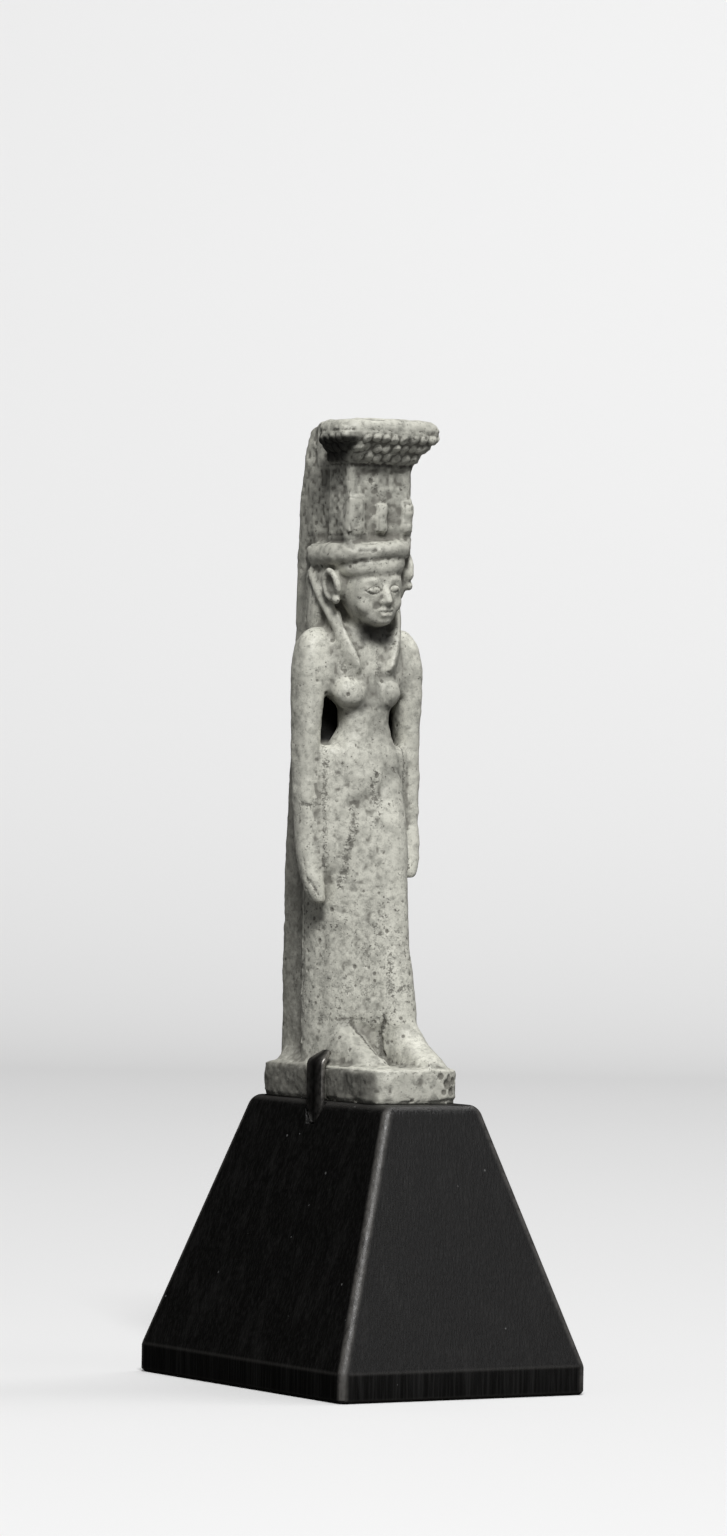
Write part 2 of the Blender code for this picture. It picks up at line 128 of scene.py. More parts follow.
# Clips
CLIP_WIDTH = 2.2 * MM
CLIP_THICKNESS = 0.36 * MM
CLIP_SET_BACK = 0.1 * MM
CLIP_LEG_IN_STAND = 1.7 * MM
CLIP_POINT_LENGTH = 1.1 * MM
CLIP_FINGER_LEAN = math.radians(52.0)
CLIP_BEND_RADIUS = 0.3 * MM
CLIP_TIP_SHARE = 0.42
CLIP_GAP = 0.2 * MM
FINGER_GAP = 0.3 * MM
SLOT_CLEARANCE = 0.15 * MM

# Camera: a long lens, level, turned to the figure's right, its picture slightly tilted
PICTURE_WIDTH = 727
PICTURE_HEIGHT = 1536
CAMERA_TURN = math.radians(31.5)
CAMERA_ROLL = math.radians(0.95)
CAMERA_FOCAL_PIXELS = 6636
CAMERA_DISTANCE = 507.65 * MM
CAMERA_HEIGHT = 45.36 * MM
CAMERA_CENTRE = (369, 790)
SENSOR_WIDTH = 36.0
NEAREST_SEEN = 10.0 * MM

# Lights, each placed to the camera's right, beyond the object and up, in metres
LIT_MIDDLE = (0.0, 0.0, 0.04)
KEY_PLACE = (0.09, -1.06, 1.23)
KEY_SIZE = (0.45, 0.45)
SIDE_PLACE = (0.82, -0.37, 0.42)
SIDE_SIZE = (0.5, 0.6)
SIDE_POWER = 0.78
BACKDROP_LIGHT_PLACE = (0.4, 0.35, 1.05)
BACKDROP_LIGHT_TARGET = (0.25, 0.85, 0.1)
BACKDROP_LIGHT_SIZE = (1.1, 0.4)
BACKDROP_LIGHT_POWER = 6.0

# Backdrop: a floor that curves up into a wall
BACKDROP_HALF_WIDTH = 1.6
BACKDROP_FRONT = -1.2
BACKDROP_DEPTH = 0.9
BACKDROP_RADIUS = 0.35
BACKDROP_TOP = 1.6
BACKDROP_STEPS = 24

FORWARD = Vector((0.0, 1.0, 0.0))
DOWN = Vector((0.0, 0.0, -1.0))


class FigureSettings(bpy.types.PropertyGroup):
    """What a user may change about the faience figure."""
    fineness: FloatProperty(
        name="Fineness", description="Size of the smallest form that is carved",
        default=0.12 * MM, min=0.1 * MM, unit="LENGTH")
    faces: IntProperty(
        name="Faces", description="Triangles kept in the finished figure", default=190000, min=1000)
    wear: FloatProperty(
        name="Wear", description="How far the surface is worn out of true",
        default=0.075 * MM, min=0.0, unit="LENGTH")
    pits: IntProperty(
        name="Pits", description="Number of small pits scattered over the figure", default=420,
        min=0)
    body_colour: FloatVectorProperty(
        name="Faience", description="Colour of the weathered faience", subtype="COLOR", size=3,
        default=(0.50, 0.495, 0.435), min=0.0, max=1.0)
    # The soil colour is also the base of the near-black painted shade.
    soil_colour: FloatVectorProperty(
        name="Soil", description="Colour of the dirt held in pits and hollows", subtype="COLOR",
        size=3, default=(0.085, 0.078, 0.066), min=0.0, max=1.0)


class StandSettings(bpy.types.PropertyGroup):
    """What a user may change about the wooden stand."""
    corner: FloatProperty(
        name="Corner", description="Rounding of the upright corners", default=0.5 * MM,
        min=0.05 * MM, unit="LENGTH")
    top_rounding: FloatProperty(
        name="Top edge", description="Rounding of the top edge", default=0.7 * MM,
        min=0.05 * MM, unit="LENGTH")
    colour: FloatVectorProperty(
        name="Wood", description="Colour of the ebonised wood", subtype="COLOR", size=3,
        default=(0.0036, 0.0034, 0.0032), min=0.0, max=1.0)
    rubbed_colour: FloatVectorProperty(
        name="Rubbed edges", description="Colour where handling has rubbed the edges",
        subtype="COLOR", size=3, default=(0.075, 0.071, 0.066), min=0.0, max=1.0)


class ClipSettings(bpy.types.PropertyGroup):
    """What a user may change about the two metal clips."""
    edge: FloatProperty(
        name="Filed edge", description="Width of the filed edges of the strip",
        default=0.06 * MM, min=0.01 * MM, unit="LENGTH")
    colour: FloatVectorProperty(
        name="Metal", description="Colour of the darkened metal", subtype="COLOR", size=3,
        default=(0.05, 0.048, 0.045), min=0.0, max=1.0)


class StageSettings(bpy.types.PropertyGroup):
    """What a user may change about the floor, the lights and the camera."""
    floor_colour: FloatVectorProperty(
        name="Floor", description="Colour of the floor and backdrop", subtype="COLOR", size=3,
        default=(0.80, 0.80, 0.80), min=0.0, max=1.0)
    key_power: FloatProperty(
        name="Key light", description="Power of the large light above the camera", default=28.5,
        min=0.0, unit="POWER")
    surround: FloatProperty(
        name="Surround", description="Strength of the even light from all round", default=0.14,
        min=0.0)


# Shader maths


class Field:
    """A socket that takes part in plain arithmetic, each step adding its Math node."""

    def __init__(self, finish, socket):
        self.finish = finish
        self.socket = socket

    def math(self, operation, *others):
        sockets = dict(enumerate((self, *others)))
        return self.finish.node("ShaderNodeMath", {"operation": operation}, sockets)

    def __add__(self, other):
        return self.math("ADD", other)

    def __mul__(self, other):
        return self.math("MULTIPLY", other)

    def __sub__(self, other):
        return self.math("SUBTRACT", other)

    def __rsub__(self, other):
        return self * -1.0 + other

    def __truediv__(self, other):
        return self.math("DIVIDE", other)

    __radd__ = __add__

    def size(self):
        return self.math("ABSOLUTE")

    def at_least(self, other):
        return self.math("MAXIMUM", other)

    def rise(self, low, high):
        """0 below low, 1 above high and eased between; falls where low is the greater."""
        return self.finish.node("ShaderNodeMapRange", {"interpolation_type": "SMOOTHSTEP"},
                                {"Value": self, "From Min": low, "From Max": high})


class Finish:
    """A material being mixed for one of the object's surfaces."""

    def __init__(self, name, **constants):
        self.material = bpy.data.materials.new(name)
        self.material.use_nodes = True
        self.tree = self.material.node_tree
        self.shader = self.tree.nodes["Principled BSDF"]
        for socket, value in constants.items():
            self.shader.inputs[socket.replace("_", " ")].default_value = value
        self.place = self.node("ShaderNodeTexCoord", out="Object")

    def node(self, kind, settings=None, sockets=None, out=0):
        """Add a node: its settings first, then the values or links of its sockets."""
        made = self.tree.nodes.new(kind)
        for name, value in (settings or {}).items():
            setattr(made, name, value)
        for name, value in (sockets or {}).items():
            self.feed(made.inputs[name], value)
        return Field(self, made.outputs[out])

    def feed(self, socket, value):
        if isinstance(value, Field):
            self.tree.links.new(value.socket, socket)
        elif socket.type == "RGBA" and len(value) == 3:
            socket.default_value = (*value, 1.0)
        else:
            socket.default_value = value

    def shade(self, **sockets):
        """Connect what changes over the surface to the shader."""
        for name, value in sockets.items():
            self.feed(self.shader.inputs[name.replace("_", " ")], value)

    def mark(self, name):
        """A number that was worked out for every point of the mesh."""
        return self.node("ShaderNodeAttribute", {"attribute_name": name}, out="Fac")

    def stretched(self, scale, shift=(0.0, 0.0, 0.0)):
        """The surface's own place, scaled apart along each axis."""
        scaled = self.node("ShaderNodeVectorMath", {"operation": "MULTIPLY"},
                           {0: self.place, 1: scale})
        return self.node("ShaderNodeVectorMath", {"operation": "ADD"}, {0: scaled, 1: shift})

    def clouds(self, grain, detail=3.0, roughness=0.5, place=None, shift=0.0):
        """Soft noise around 0.5 whose lumps are about grain across."""
        place = place or self.stretched((1.0, 1.0, 1.0), (shift, shift, shift))
        return self.node("ShaderNodeTexNoise", sockets={
            "Vector": place, "Scale": 1.0 / grain, "Detail": detail, "Roughness": roughness})

    def cells(self, grain, out="Distance", shift=0.0):
        """Distance to scattered points about grain apart, or each point's random colour."""
        place = self.stretched((1.0, 1.0, 1.0), (shift, shift, shift))
        return self.node("ShaderNodeTexVoronoi", sockets={"Vector": place, "Scale": 1.0 / grain},
                         out=out)

    def specks(self, grain, reach, share, shift=0.0):
        """Uneven specks in a share of the scattered cells."""
        distance = self.cells(grain, shift=shift)
        distance = distance + self.clouds(grain * 0.5, detail=1.0, shift=shift) * 0.5 - 0.25
        chance = self.node("ShaderNodeSeparateColor",
                           sockets={"Color": self.cells(grain, "Color", shift)})
        chosen = chance.rise(1.0 - share, 1.0 - share + 0.04)
        return distance.rise(reach, reach * 0.3) * chosen

    def mix(self, share, first, second):
        return self.node("ShaderNodeMix", {"data_type": "RGBA"},
                         {0: share, 6: first, 7: second}, out=2)

    def bump(self, height, distance, strength):
        return self.node("ShaderNodeBump", sockets={
            "Height": height, "Distance": distance, "Strength": strength})

    def separate(self, vector):
        made = self.tree.nodes.new("ShaderNodeSeparateXYZ")
        self.feed(made.inputs[0], vector)
        return [Field(self, output) for output in made.outputs]


# Mesh helpers


def signed_power(value, power):
    return math.copysign(abs(value) ** power, value)


def on_grid(x, y, height):
    """A point of the carver's grid, height counted from the top of the slab."""
    return Vector((x * GRID, y * GRID, SLAB_TOP + height * GRID))


def oval(half_width, half_depth, squareness, points=SECTION_POINTS):
    """Points of a superellipse: 2 is an ellipse, higher is squarer."""
    made = []
    for i in range(points):
        turn = 2.0 * math.pi * i / points
        made.append((half_width * signed_power(math.cos(turn), 2.0 / squareness),
                     half_depth * signed_power(math.sin(turn), 2.0 / squareness)))
    return made


def join_rings(shape, rings):
    """Skin closed rings of equal count into one closed shell with flat ends."""
    made = [[shape.verts.new(point) for point in ring] for ring in rings]
    count = len(made[0])
    for lower, upper in zip(made, made[1:]):
        for i in range(count):
            j = (i + 1) % count
            shape.faces.new((lower[i], lower[j], upper[j], upper[i]))
    shape.faces.new(list(reversed(made[0])))
    shape.faces.new(made[-1])
    return made


def eased_rows(rows, steps):
    """Rows of numbers read from a smooth curve through the given rows."""
    out = []
    last = len(rows) - 1
    for k in range(last):
        before, start = rows[max(k - 1, 0)], rows[k]
        end, after = rows[k + 1], rows[min(k + 2, last)]
        for s in range(steps):
            t = s / steps
            row = []
            for a, b, c, d in zip(before, start, end, after):
                bend = 2 * b + (c - a) * t + (2 * a - 5 * b + 4 * c - d) * t * t
                bend += (3 * b - a - 3 * c + d) * t ** 3
                row.append(min(max(bend / 2, min(b, c)), max(b, c)))
            out.append(tuple(row))
    out.append(rows[-1])
    return out


def column(shape, rows, squareness=2.4, mirror=1.0):
    """A standing form through rows of (height, x, y, half width, half depth) on the grid."""
    rings = []
    for height, x, y, half_width, half_depth in eased_rows(rows, EASING_STEPS):
        rings.append([on_grid(mirror * (x + across), y + along, height)
                      for across, along in oval(half_width, half_depth, squareness)])
    join_rings(shape, rings)


def egg(shape, centre, radii, lean=0.0, roll=0.0):
    """An ellipsoid on the grid, tipped about the sideways axis and rolled about the front one."""
    turned = Matrix.Rotation(roll, 3, "Y") @ Matrix.Rotation(lean, 3, "X")
    middle = on_grid(*centre)
    rings = []
    for level in range(1, EGG_LEVELS):
        polar = math.pi * level / EGG_LEVELS
        around = oval(radii[0] * math.sin(polar), radii[1] * math.sin(polar), 2.0, EGG_POINTS)
        z = -radii[2] * math.cos(polar)
        rings.append([middle + turned @ Vector((x, y, z)) * GRID for x, y in around])
    join_rings(shape, rings)


def block(shape, low, high, rounding):
    """A box on the grid between two corners, its edges rounded."""
    centre = [(a + b) / 2 for a, b in zip(low, high)]
    size = [(b - a) * GRID for a, b in zip(low, high)]
    place = Matrix.Translation(on_grid(*centre)) @ Matrix.Diagonal((*size, 1.0))
    made = bmesh.ops.create_cube(shape, size=1.0, matrix=place)
    edges = {edge for vert in made["verts"] for edge in vert.link_edges}
    bmesh.ops.bevel(shape, geom=list(edges), offset=rounding * GRID, segments=3, profile=0.5,
                    affect="EDGES")


def swept(shape, path, section, outward, offset=0.0):
    """Sweep a flat section, moved sideways by offset, along points of the grid."""
    rings = []
    for k, row in enumerate(path):
        ahead = path[min(k + 1, len(path) - 1)]
        behind = path[max(k - 1, 0)]
        way = (on_grid(*ahead[:3]) - on_grid(*behind[:3])).normalized()
        across = way.cross(outward).normalized()
        proud = across.cross(way).normalized()
        middle = on_grid(*row[:3])
        rings.append([middle + across * (a + offset) * GRID + proud * b * GRID
                      for a, b in section(row)])
    join_rings(shape, rings)


def rope(shape, points, radius, outward=(0.0, -1.0, 0.0), offset=0.0):
    """A round cord through points of the grid, tapering off at both ends."""
    path = eased_rows(points, ROPE_STEPS)

    def section(row):
        place = path.index(row)
        room = min(place, len(path) - 1 - place)
        share = ROPE_END_SHARE + (1.0 - ROPE_END_SHARE) * min(room / ROPE_END_STEPS, 1.0)
        return oval(radius * share, radius * share, 2.0, ROPE_POINTS)

    swept(shape, path, section, Vector(outward), offset)


def foot(shape, x, rows, squareness):
    """A foot from ankle to toe through rows of (y, half width, height), its sole in the slab."""
    rings = []
    for y, half_width, height in eased_rows(rows, EASING_STEPS):
        rings.append([on_grid(x + across, y, max(along, -SOLE_DEPTH))
                      for across, along in oval(half_width, height, squareness)])
    join_rings(shape, rings)


# The figure's forms


def slab_outline():
    """The slab seen from above: a rectangle with rounded corners, the front ones worn."""
    half_width = SLAB_WIDTH / 2
    corners = (
        (half_width, SLAB_BACK, SLAB_CORNER_RADIUS, 0.0),
        (-half_width, SLAB_BACK, SLAB_CORNER_RADIUS, 90.0),
        (-half_width, SLAB_FRONT, SLAB_FRONT_CORNER_RADIUS, 180.0),
        (half_width, SLAB_FRONT, SLAB_FRONT_CORNER_RADIUS, 270.0),
    )
    points = []
    for x, y, radius, start in corners:
        middle_x = x - math.copysign(radius, x)
        middle_y = y - math.copysign(radius, y)
        for step in range(10):
            turn = math.radians(start + 10.0 * step)
            points.append((middle_x + radius * math.cos(turn), middle_y + radius * math.sin(turn)))
    return points


def build_slab(shape):
    rings = [[Vector((x, y, z)) for x, y in slab_outline()] for z in (SLAB_FOOT, SLAB_TOP)]
    made = join_rings(shape, rings)
    edges = set()
    for level in map(set, made):
        edges |= {edge for vert in level for edge in vert.link_edges
                  if edge.other_vert(vert) in level}
    bmesh.ops.bevel(shape, geom=list(edges), offset=SLAB_EDGE_ROUNDING, segments=3, profile=0.5,
                    affect="EDGES")


def build_pillar(shape):
    """The back pillar, leaning slightly forward and rounded off behind the headdress."""
    half = PILLAR_WIDTH / 2 / GRID
    front = 38
    backs = ((-8, 0), (133, 0), (218, -2), (308, -8), (438, -15), (532, -18), (575, -21.5),
             (601, -26), (623, -31), (641, -39), (650, -55))
    rows = []
    for height, lean in backs:
        back = PILLAR_REACH / GRID + lean
        rows.append((height, 0, (front + back) / 2, half, (back - front) / 2))
    column(shape, rows, squareness=12.0)
    middle = PILLAR_REACH / GRID - 40
    column(shape, ((-8, 0, middle, half + 14, 39), (3, 0, middle, half + 9, 39),
                   (11, 0, middle, half + 3, 39), (24, 0, middle, half - 2, 36)), squareness=5.0)


def build_legs(shape):
    """The sheath dress: right leg set back, left leg advanced, cloth stretched between them."""
    right = ((-8, -19, 24, 19, 27), (20, -18, 25, 19, 25), (42, -17, 26, 19, 23),
             (47, -17, 26, 20, 24), (119, -17, 26, 20, 24), (180, -19, 24, 21, 24),
             (215, -21, 22, 22, 24), (250, -22, 20, 22, 23), (285, -20, 17, 21, 21),
             (302, -19, 21, 19, 16), (316, -18, 26, 15, 8))
    left = ((-8, 21, -24, 18, 24), (20, 21, -24, 19, 24), (42, 20, -24, 20, 24),
            (47, 20, -23, 21, 25), (119, 18, -12, 21.5, 23), (180, 18, -6, 21.5, 23),
            (215, 18, -4, 21.5, 23), (250, 18, -1, 21.5, 23), (285, 18, 6, 20, 20),
            (302, 17, 15, 18, 15), (316, 16, 24, 14, 8))
    slack = (0.16, 0.16, 0.1, 0.02, 0.02, 0.02, 0.04, 0.08, 0.2, 0.3, 0.4)
    between = 7
    for step in range(between + 2):
        share = step / (between + 1)
        dip = 4 * share * (1 - share)
        rows = []
        for start, end, loose in zip(right, left, slack):
            mixed = [a + (b - a) * share for a, b in zip(start, end)]
            thick = 1.0 - loose * dip
            rows.append((*mixed[:3], mixed[3] * thick, mixed[4] * thick))
        column(shape, rows, squareness=2.2)
    wide = SKIRT_HALF_WIDTH / GRID
    column(shape, ((-8, 0, 45, wide, 34), (60, 0, 44, wide + 1, 36), (165, 0, 43, wide + 1, 36),
                   (190, 0, 42, wide + 1, 34), (210, 0, 42, wide - 6, 28)), squareness=2.2)
    column(shape, ((166, 0, 42, wide - 8, 22), (190, 0, 37, wide + 5, 31),
                   (215, 0, 34, wide + 11, 34), (314, 0, 34, wide + 11, 34),
                   (325, 0, 53, wide + 12, 16), (400, 0, 53, wide + 12, 16),
                   (436, 0, 54, wide, 13)), squareness=4.0)


def build_feet(shape):
    """Both feet bare on the slab, the left a pace in front of the right, with their toes."""
    toes = TOE_REACH / GRID
    foot(shape, -20, ((34, 20, 54), (4, 18.5, 45), (-14, 17, 33), (-32, 15, 21),
                      (-46, 12.5, 12), (-54, 9.5, 6)), squareness=2.8)
    foot(shape, 24, ((0, 19, 54), (-40, 19, 48), (-56, 18.5, 33), (-72, 18, 21), (-90, 16, 12),
                     (4 - toes, 11, 7)), squareness=2.4)
    for middle, front, inner in ((-20, -53, 1), (24, 5 - toes, -1)):
        for place, (reach, thick) in enumerate(((3, 4.4), (1, 3.4), (-1, 3.1), (-3.5, 2.9),
                                                (-6.5, 2.7))):
            across = middle + inner * (9.5 - place * 5.6)
            egg(shape, (across, front - reach + 5, thick * 0.8), (thick * 0.85, 7.5, thick * 1.25))


def build_torso(shape):
    """Belly, narrow waist between the arms, chest and breasts."""
    column(shape, ((225, 0, 22, 36, 22), (260, 0, 20, 39, 27), (295, 0, 18, 40, 29),
                   (312, 0, 18, 39, 28), (326, 0, 16, 33, 24), (343, 0, 14, 27, 20),
                   (362, 0, 14, 28, 20), (373, 0, 18, 40, 22), (390, 0, 20, 47, 24),
                   (410, 0, 24, 47, 26), (430, 0, 27, 46, 25), (444, 0, 30, 30, 20)))
    egg(shape, (0, 2, 289), (30, 15, 34))
    egg(shape, (-24, 2, 375), (18, 15, 16.5))
    egg(shape, (20, 2, 375), (15, 14, 16))
    for side in (-1, 1):
        column(shape, ((373, 46, 28, 13, 16), (380, 47, 26, 15, 18), (400, 47, 25, 15, 19),
                       (424, 45, 27, 14, 17)), squareness=3.0, mirror=side)


def build_arm(shape, side, hand_end, swing):
    """An arm hanging at the side down to hand_end, swung forward a little at the hand."""
    reach = 436 - hand_end
    rows = []
    for share, x, y, half_width, half_depth in (
            (1.0, 49, 14, 6, 7), (0.965, 51, 16, 9.5, 11), (0.87, 55, 22, 11, 13),
            (0.77, 57.5, 26, 10.5, 13), (0.61, 59, 28, 11, 15.5), (0.47, 59, 29, 11.5, 17),
            (0.25, 58, 27, 14, 20), (0.12, 56.5, 27, 15.5, 20), (0.04, 53, 29, 15, 18),
            (0.0, 48, 31, 9, 11)):
        forward = swing * max(share - 0.35, 0.0)
        rows.append((436 - share * reach, x, y - forward, half_width, half_depth))
    column(shape, rows, squareness=2.5, mirror=side)
    egg(shape, (48 * side, 28, 415), (22, 19, 26))


def rolled(shape, build):
    """Run a builder, then tip what it added sideways with the head."""
    before = set(shape.verts)
    build(shape)
    added = [vert for vert in shape.verts if vert not in before]
    bmesh.ops.rotate(shape, verts=added, cent=on_grid(*HEAD_PIVOT),
                     matrix=Matrix.Rotation(-HEAD_ROLL, 3, "Y"))


def on_head(*points):
    """A line on the face from pairs of (x, height), tipped with the head."""
    line = []
    for x, height in points:
        rise = height - HEAD_PIVOT[2]
        line.append((x * math.cos(HEAD_ROLL) - rise * math.sin(HEAD_ROLL), 0,
                     HEAD_PIVOT[2] + x * math.sin(HEAD_ROLL) + rise * math.cos(HEAD_ROLL)))
    return FORWARD, line


def build_neck(shape):
    column(shape, ((420, 0, 26, 26, 22), (440, 0, 20, 19, 20), (462, 0, 16, 19, 20)))


def build_head(shape):
    """Face and ears: a calm, even face in thirds from hairline to brow, nose and chin."""
    egg(shape, (0, 5, 484), (33, 30, 41))
    egg(shape, (0, -5, 458), (20, 17, 18))
    egg(shape, (0, -11, 447.5), (10.5, 13, 6.5))
    rope(shape, ((0, -20.5, 487.5), (0, -24, 478.5), (0, -28, 469.5), (0, -28.5, 465.5)), 4.5)
    egg(shape, (0, -28, 467.3), (4.6, 6.0, 4.6))
    for side in (-1, 1):
        egg(shape, (4.4 * side, -25, 466), (3.1, 3.8, 3.1))
        egg(shape, (3.2 * side, -22.5, 458.7), (6.2, 5.0, 2.6), roll=side * math.radians(7.0))
        egg(shape, (2.4 * side, -22, 453), (5.6, 5.0, 2.7))
        egg(shape, (12.5 * side, -18.2, 479), (7.8, 6.2, 4.5))
        egg(shape, (14 * side, -10.5, 465.5), (12, 8, 12))
        rope(shape, ((3.5 * side, -23.5, 485), (11 * side, -22.8, 488.5), (20 * side, -17.4, 487),
                     (25 * side, -12.5, 482)), 2.4)
    build_ear(shape, -1, tuck=0, lift=0)
    build_ear(shape, 1, tuck=3, lift=8)


def build_ear(shape, side, tuck, lift):
    """A large ear in front of the wig, tucked in and lifted: shell, thick rim and lobe."""
    egg(shape, ((42 - tuck) * side, 5, 485 + lift), (5, 11, 16), lean=math.radians(8.0))
    rim = ((44, -5.5, 477), (45.5, -7, 486), (47, -4.5, 496), (48, 3, 501.5), (48.5, 10, 498),
           (48, 14, 489), (46.5, 12, 478), (45, 6, 471))
    rope(shape, [((x - tuck) * side, y, height + lift) for x, y, height in rim], 3.6,
         outward=(side, -0.3, 0.0))
    egg(shape, ((45 - tuck) * side, -1, 472 + lift), (4.2, 5.5, 5.0))
    egg(shape, ((45 - tuck) * side, -4, 483 + lift), (3.2, 2.6, 4.0))


def build_cap(shape):
    """The top of the wig with a band round the brow."""
    column(shape, ((486, 0, 40, 45, 33), (498, 0, 37, 45, 37), (510, 0, 31, 42, 42),
                   (520, 0, 28, 40, 43), (529, 0, 28, 36, 42), (535, 0, 30, 22, 32)),
           squareness=2.7)
    column(shape, ((507, 0, 31, 45, 45), (510, 0, 27, 47, 50), (514, 0, 25, 48, 52.5),
                   (519, 0, 24, 47.8, 52.8), (524, 0, 24, 45, 50.5), (528, 0, 25, 41, 47)),
           squareness=2.7)
    column(shape, ((493, 0, 22, 34, 43), (497, 0, 20, 37.5, 45.5), (503, 0, 20, 39.5, 47),
                   (508, 0, 22, 39, 46), (514, 0, 26, 32, 37)), squareness=2.5)


def build_wig(shape):
    """The wig's mass behind the ears and its ridged lappet over each shoulder, filled behind."""
    column(shape, ((420, 0, 50, 41, 20), (445, 0, 46, 46, 22), (470, 0, 42, 46.5, 26),
                   (490, 0, 40, 46, 30), (502, 0, 38, 44, 30)), squareness=2.7)
    lappet = ((43, 46, 500, 7, 6), (42, 29, 474, 6.5, 6), (36, 12, 446, 6, 5.5),
              (27, 0, 417, 6, 5), (18, -4, 394, 5.5, 4))
    for side in (-1, 1):
        egg(shape, (31 * side, 24, 441), (9, 12, 21))
        egg(shape, (35 * side, 14, 482), (8, 15, 16))
        outward = Vector((side * 0.75, -0.66, 0.0))
        path = eased_rows([(x * side, *rest) for x, *rest in lappet], EASING_STEPS)
        swept(shape, path, lambda row: oval(row[3], row[4], 2.6), outward)
        for offset in (-3.6, 3.6):
            rope(shape, [(x + side * 1.0, y - 3.4, height) for x, y, height, *_ in path[2:-1:3]],
                 2.7, outward, offset)


def build_headdress(shape):
    """The enclosure sign carrying a basket, as one block above the wig."""
    block(shape, (-38, -14, 526), (38, 28, 612), 2.0)
    block(shape, (-31, 10, 500), (31, 60, 645), 2.0)
    block(shape, (-7, -20, 535), (7, 0, 566), 2.0)
    block(shape, (23, -19.5, 535), (38.5, 4, 571), 5.0)
    block(shape, (-39.5, -17, 535), (-20, 4, 572), 1.5)
    column(shape, ((598, 0, 10, 37, 24), (605, 0, 6, 41, 26), (616, 0, 0, 47, 28),
                   (627, 0, -6, 57, 32), (635, 0, -9, 61, 34), (642, 0, -9, 59.5, 33),
                   (647, 0, -8.5, 56, 31.5), (650, 0, -8, 50, 29)), squareness=4.5)
    block(shape, (-33, 0, 600), (33, 62, 650), 3.0)


# Carving, wear and marks on the fused figure


def lattice_noise(points, cell, seed):
    """Smooth random numbers between -1 and 1, one fresh number to every cell of space."""
    draw = np.random.RandomState(seed)
    place = np.maximum(points - np.array(FIGURE_LOW) + cell, 0.0) / cell
    whole = np.floor(place).astype(int)
    part = place - whole
    part = part * part * (3.0 - 2.0 * part)
    size = np.ceil((np.array(FIGURE_HIGH - FIGURE_LOW) + 4 * cell) / cell).astype(int) + 2
    values = draw.uniform(-1.0, 1.0, size)
    total = np.zeros(len(points))
    for corner in itertools.product((0, 1), repeat=3):
        weight = np.ones(len(points))
        for axis in range(3):
            weight *= part[:, axis] if corner[axis] else 1.0 - part[:, axis]
        index = whole + corner
        total += weight * values[index[:, 0], index[:, 1], index[:, 2]]
    return total


def smooth_step(values, low, high):
    """0 below low, 1 above high and eased between."""
    share = np.clip((values - low) / (high - low), 0.0, 1.0)
    return share * share * (3.0 - 2.0 * share)


def beneath(values, fading, end):
    """1 up to fading, eased to 0 at end."""
    return 1.0 - smooth_step(values, fading, end)


def within(values, start, full, fading, end):
    """1 from full to fading, eased to 0 at start below and at end above."""
    return smooth_step(values, start, full) * beneath(values, fading, end)


class Points:
    """A mesh's points held as arrays, with their neighbours."""

    def __init__(self, mesh):
        self.mesh = mesh
        self.count = len(mesh.vertices)
        self.points = self.read(mesh.vertices, "co", 3)
        self.normals = self.read(mesh.vertices, "normal", 3)
        self.edges = self.read(mesh.edges, "vertices", 2, int)
        self.ties = np.bincount(self.edges.ravel(), minlength=self.count).astype(float)

    def read(self, items, name, width, kind=float):
        values = np.zeros(len(items) * width, dtype=kind)
        items.foreach_get(name, values)
        return values.reshape(len(items), width)

    def averaged(self, values, times):
        """Values of every point averaged with its neighbours', the given number of times."""
        first, second = self.edges[:, 0], self.edges[:, 1]
        for _ in range(times):
            out = np.zeros_like(values)
            for axis in range(values.shape[1]):
                column_values = values[:, axis]
                out[:, axis] += np.bincount(first, column_values[second], self.count)
                out[:, axis] += np.bincount(second, column_values[first], self.count)
            values = (values + out) / (self.ties[:, None] + 1.0)
        return values

    def relax(self, times, fill, wear, share):
        """Round the joins: hollows fill by one part of the way to their surroundings, ridges
        wear by another, all of it scaled by each point's own share."""
        for _ in range(times):
            step = self.averaged(self.points, 1) - self.points
            rise = (step * self.normals).sum(axis=1)
            self.points += step * (np.where(rise > 0.0, fill, wear) * share)[:, None]

    def hollow(self, times):
        """How far the surface lies below its own surroundings, in metres."""
        return ((self.averaged(self.points, times) - self.points) * self.normals).sum(axis=1)

    def write(self):
        self.mesh.vertices.foreach_set("co", self.points.ravel())
        self.mesh.update()


class Surface(Points):
    """A mesh to be carved, or marked where it is hollow, proud, soiled or given painted shade and
    highlights.
    """

    def __init__(self, mesh):
        super().__init__(mesh)
        self.tree = KDTree(self.count)
        for index, point in enumerate(self.points):
            self.tree.insert(point, index)
        self.tree.balance()
        faces = self.read(mesh.loops, "vertex_index", 1, int).ravel()
        starts = self.read(mesh.polygons, "loop_start", 1, int).ravel()
        totals = self.read(mesh.polygons, "loop_total", 1, int).ravel()
        polygons = [faces[a:a + n].tolist() for a, n in zip(starts, totals)]
        self.skin = BVHTree.FromPolygons(self.points.tolist(), polygons)

    def laid_on(self, places, way):
        """The places moved along a direction onto the surface; those that miss are dropped."""
        way = Vector(way).normalized()
        hits = [self.skin.ray_cast(place - way * 60.0 * MM, way)[0] for place in places]
        return [hit for hit in hits if hit is not None]

    def nearness(self, places, radius):
        """1 on the places, falling evenly to 0 at the given distance from them."""
        best = np.full(self.count, radius)
        for place in places:
            for _, index, distance in self.tree.find_range(place, radius):
                if distance < best[index]:
                    best[index] = distance
        return 1.0 - best / radius

    def dents(self, places, radii):
        """Depth of round pits as shares of their radius, where they are deepest."""
        deepest = np.zeros(self.count)
        for place, radius in zip(places, radii):
            for _, index, distance in self.tree.find_range(place, radius):
                share = 1.0 - (distance / radius) ** 2
                deepest[index] = max(deepest[index], radius * share)
        return deepest

    def mark(self, name, values):
        layer = self.mesh.attributes.new(name, "FLOAT", "POINT")
        layer.data.foreach_set("value", values.astype(np.float32))


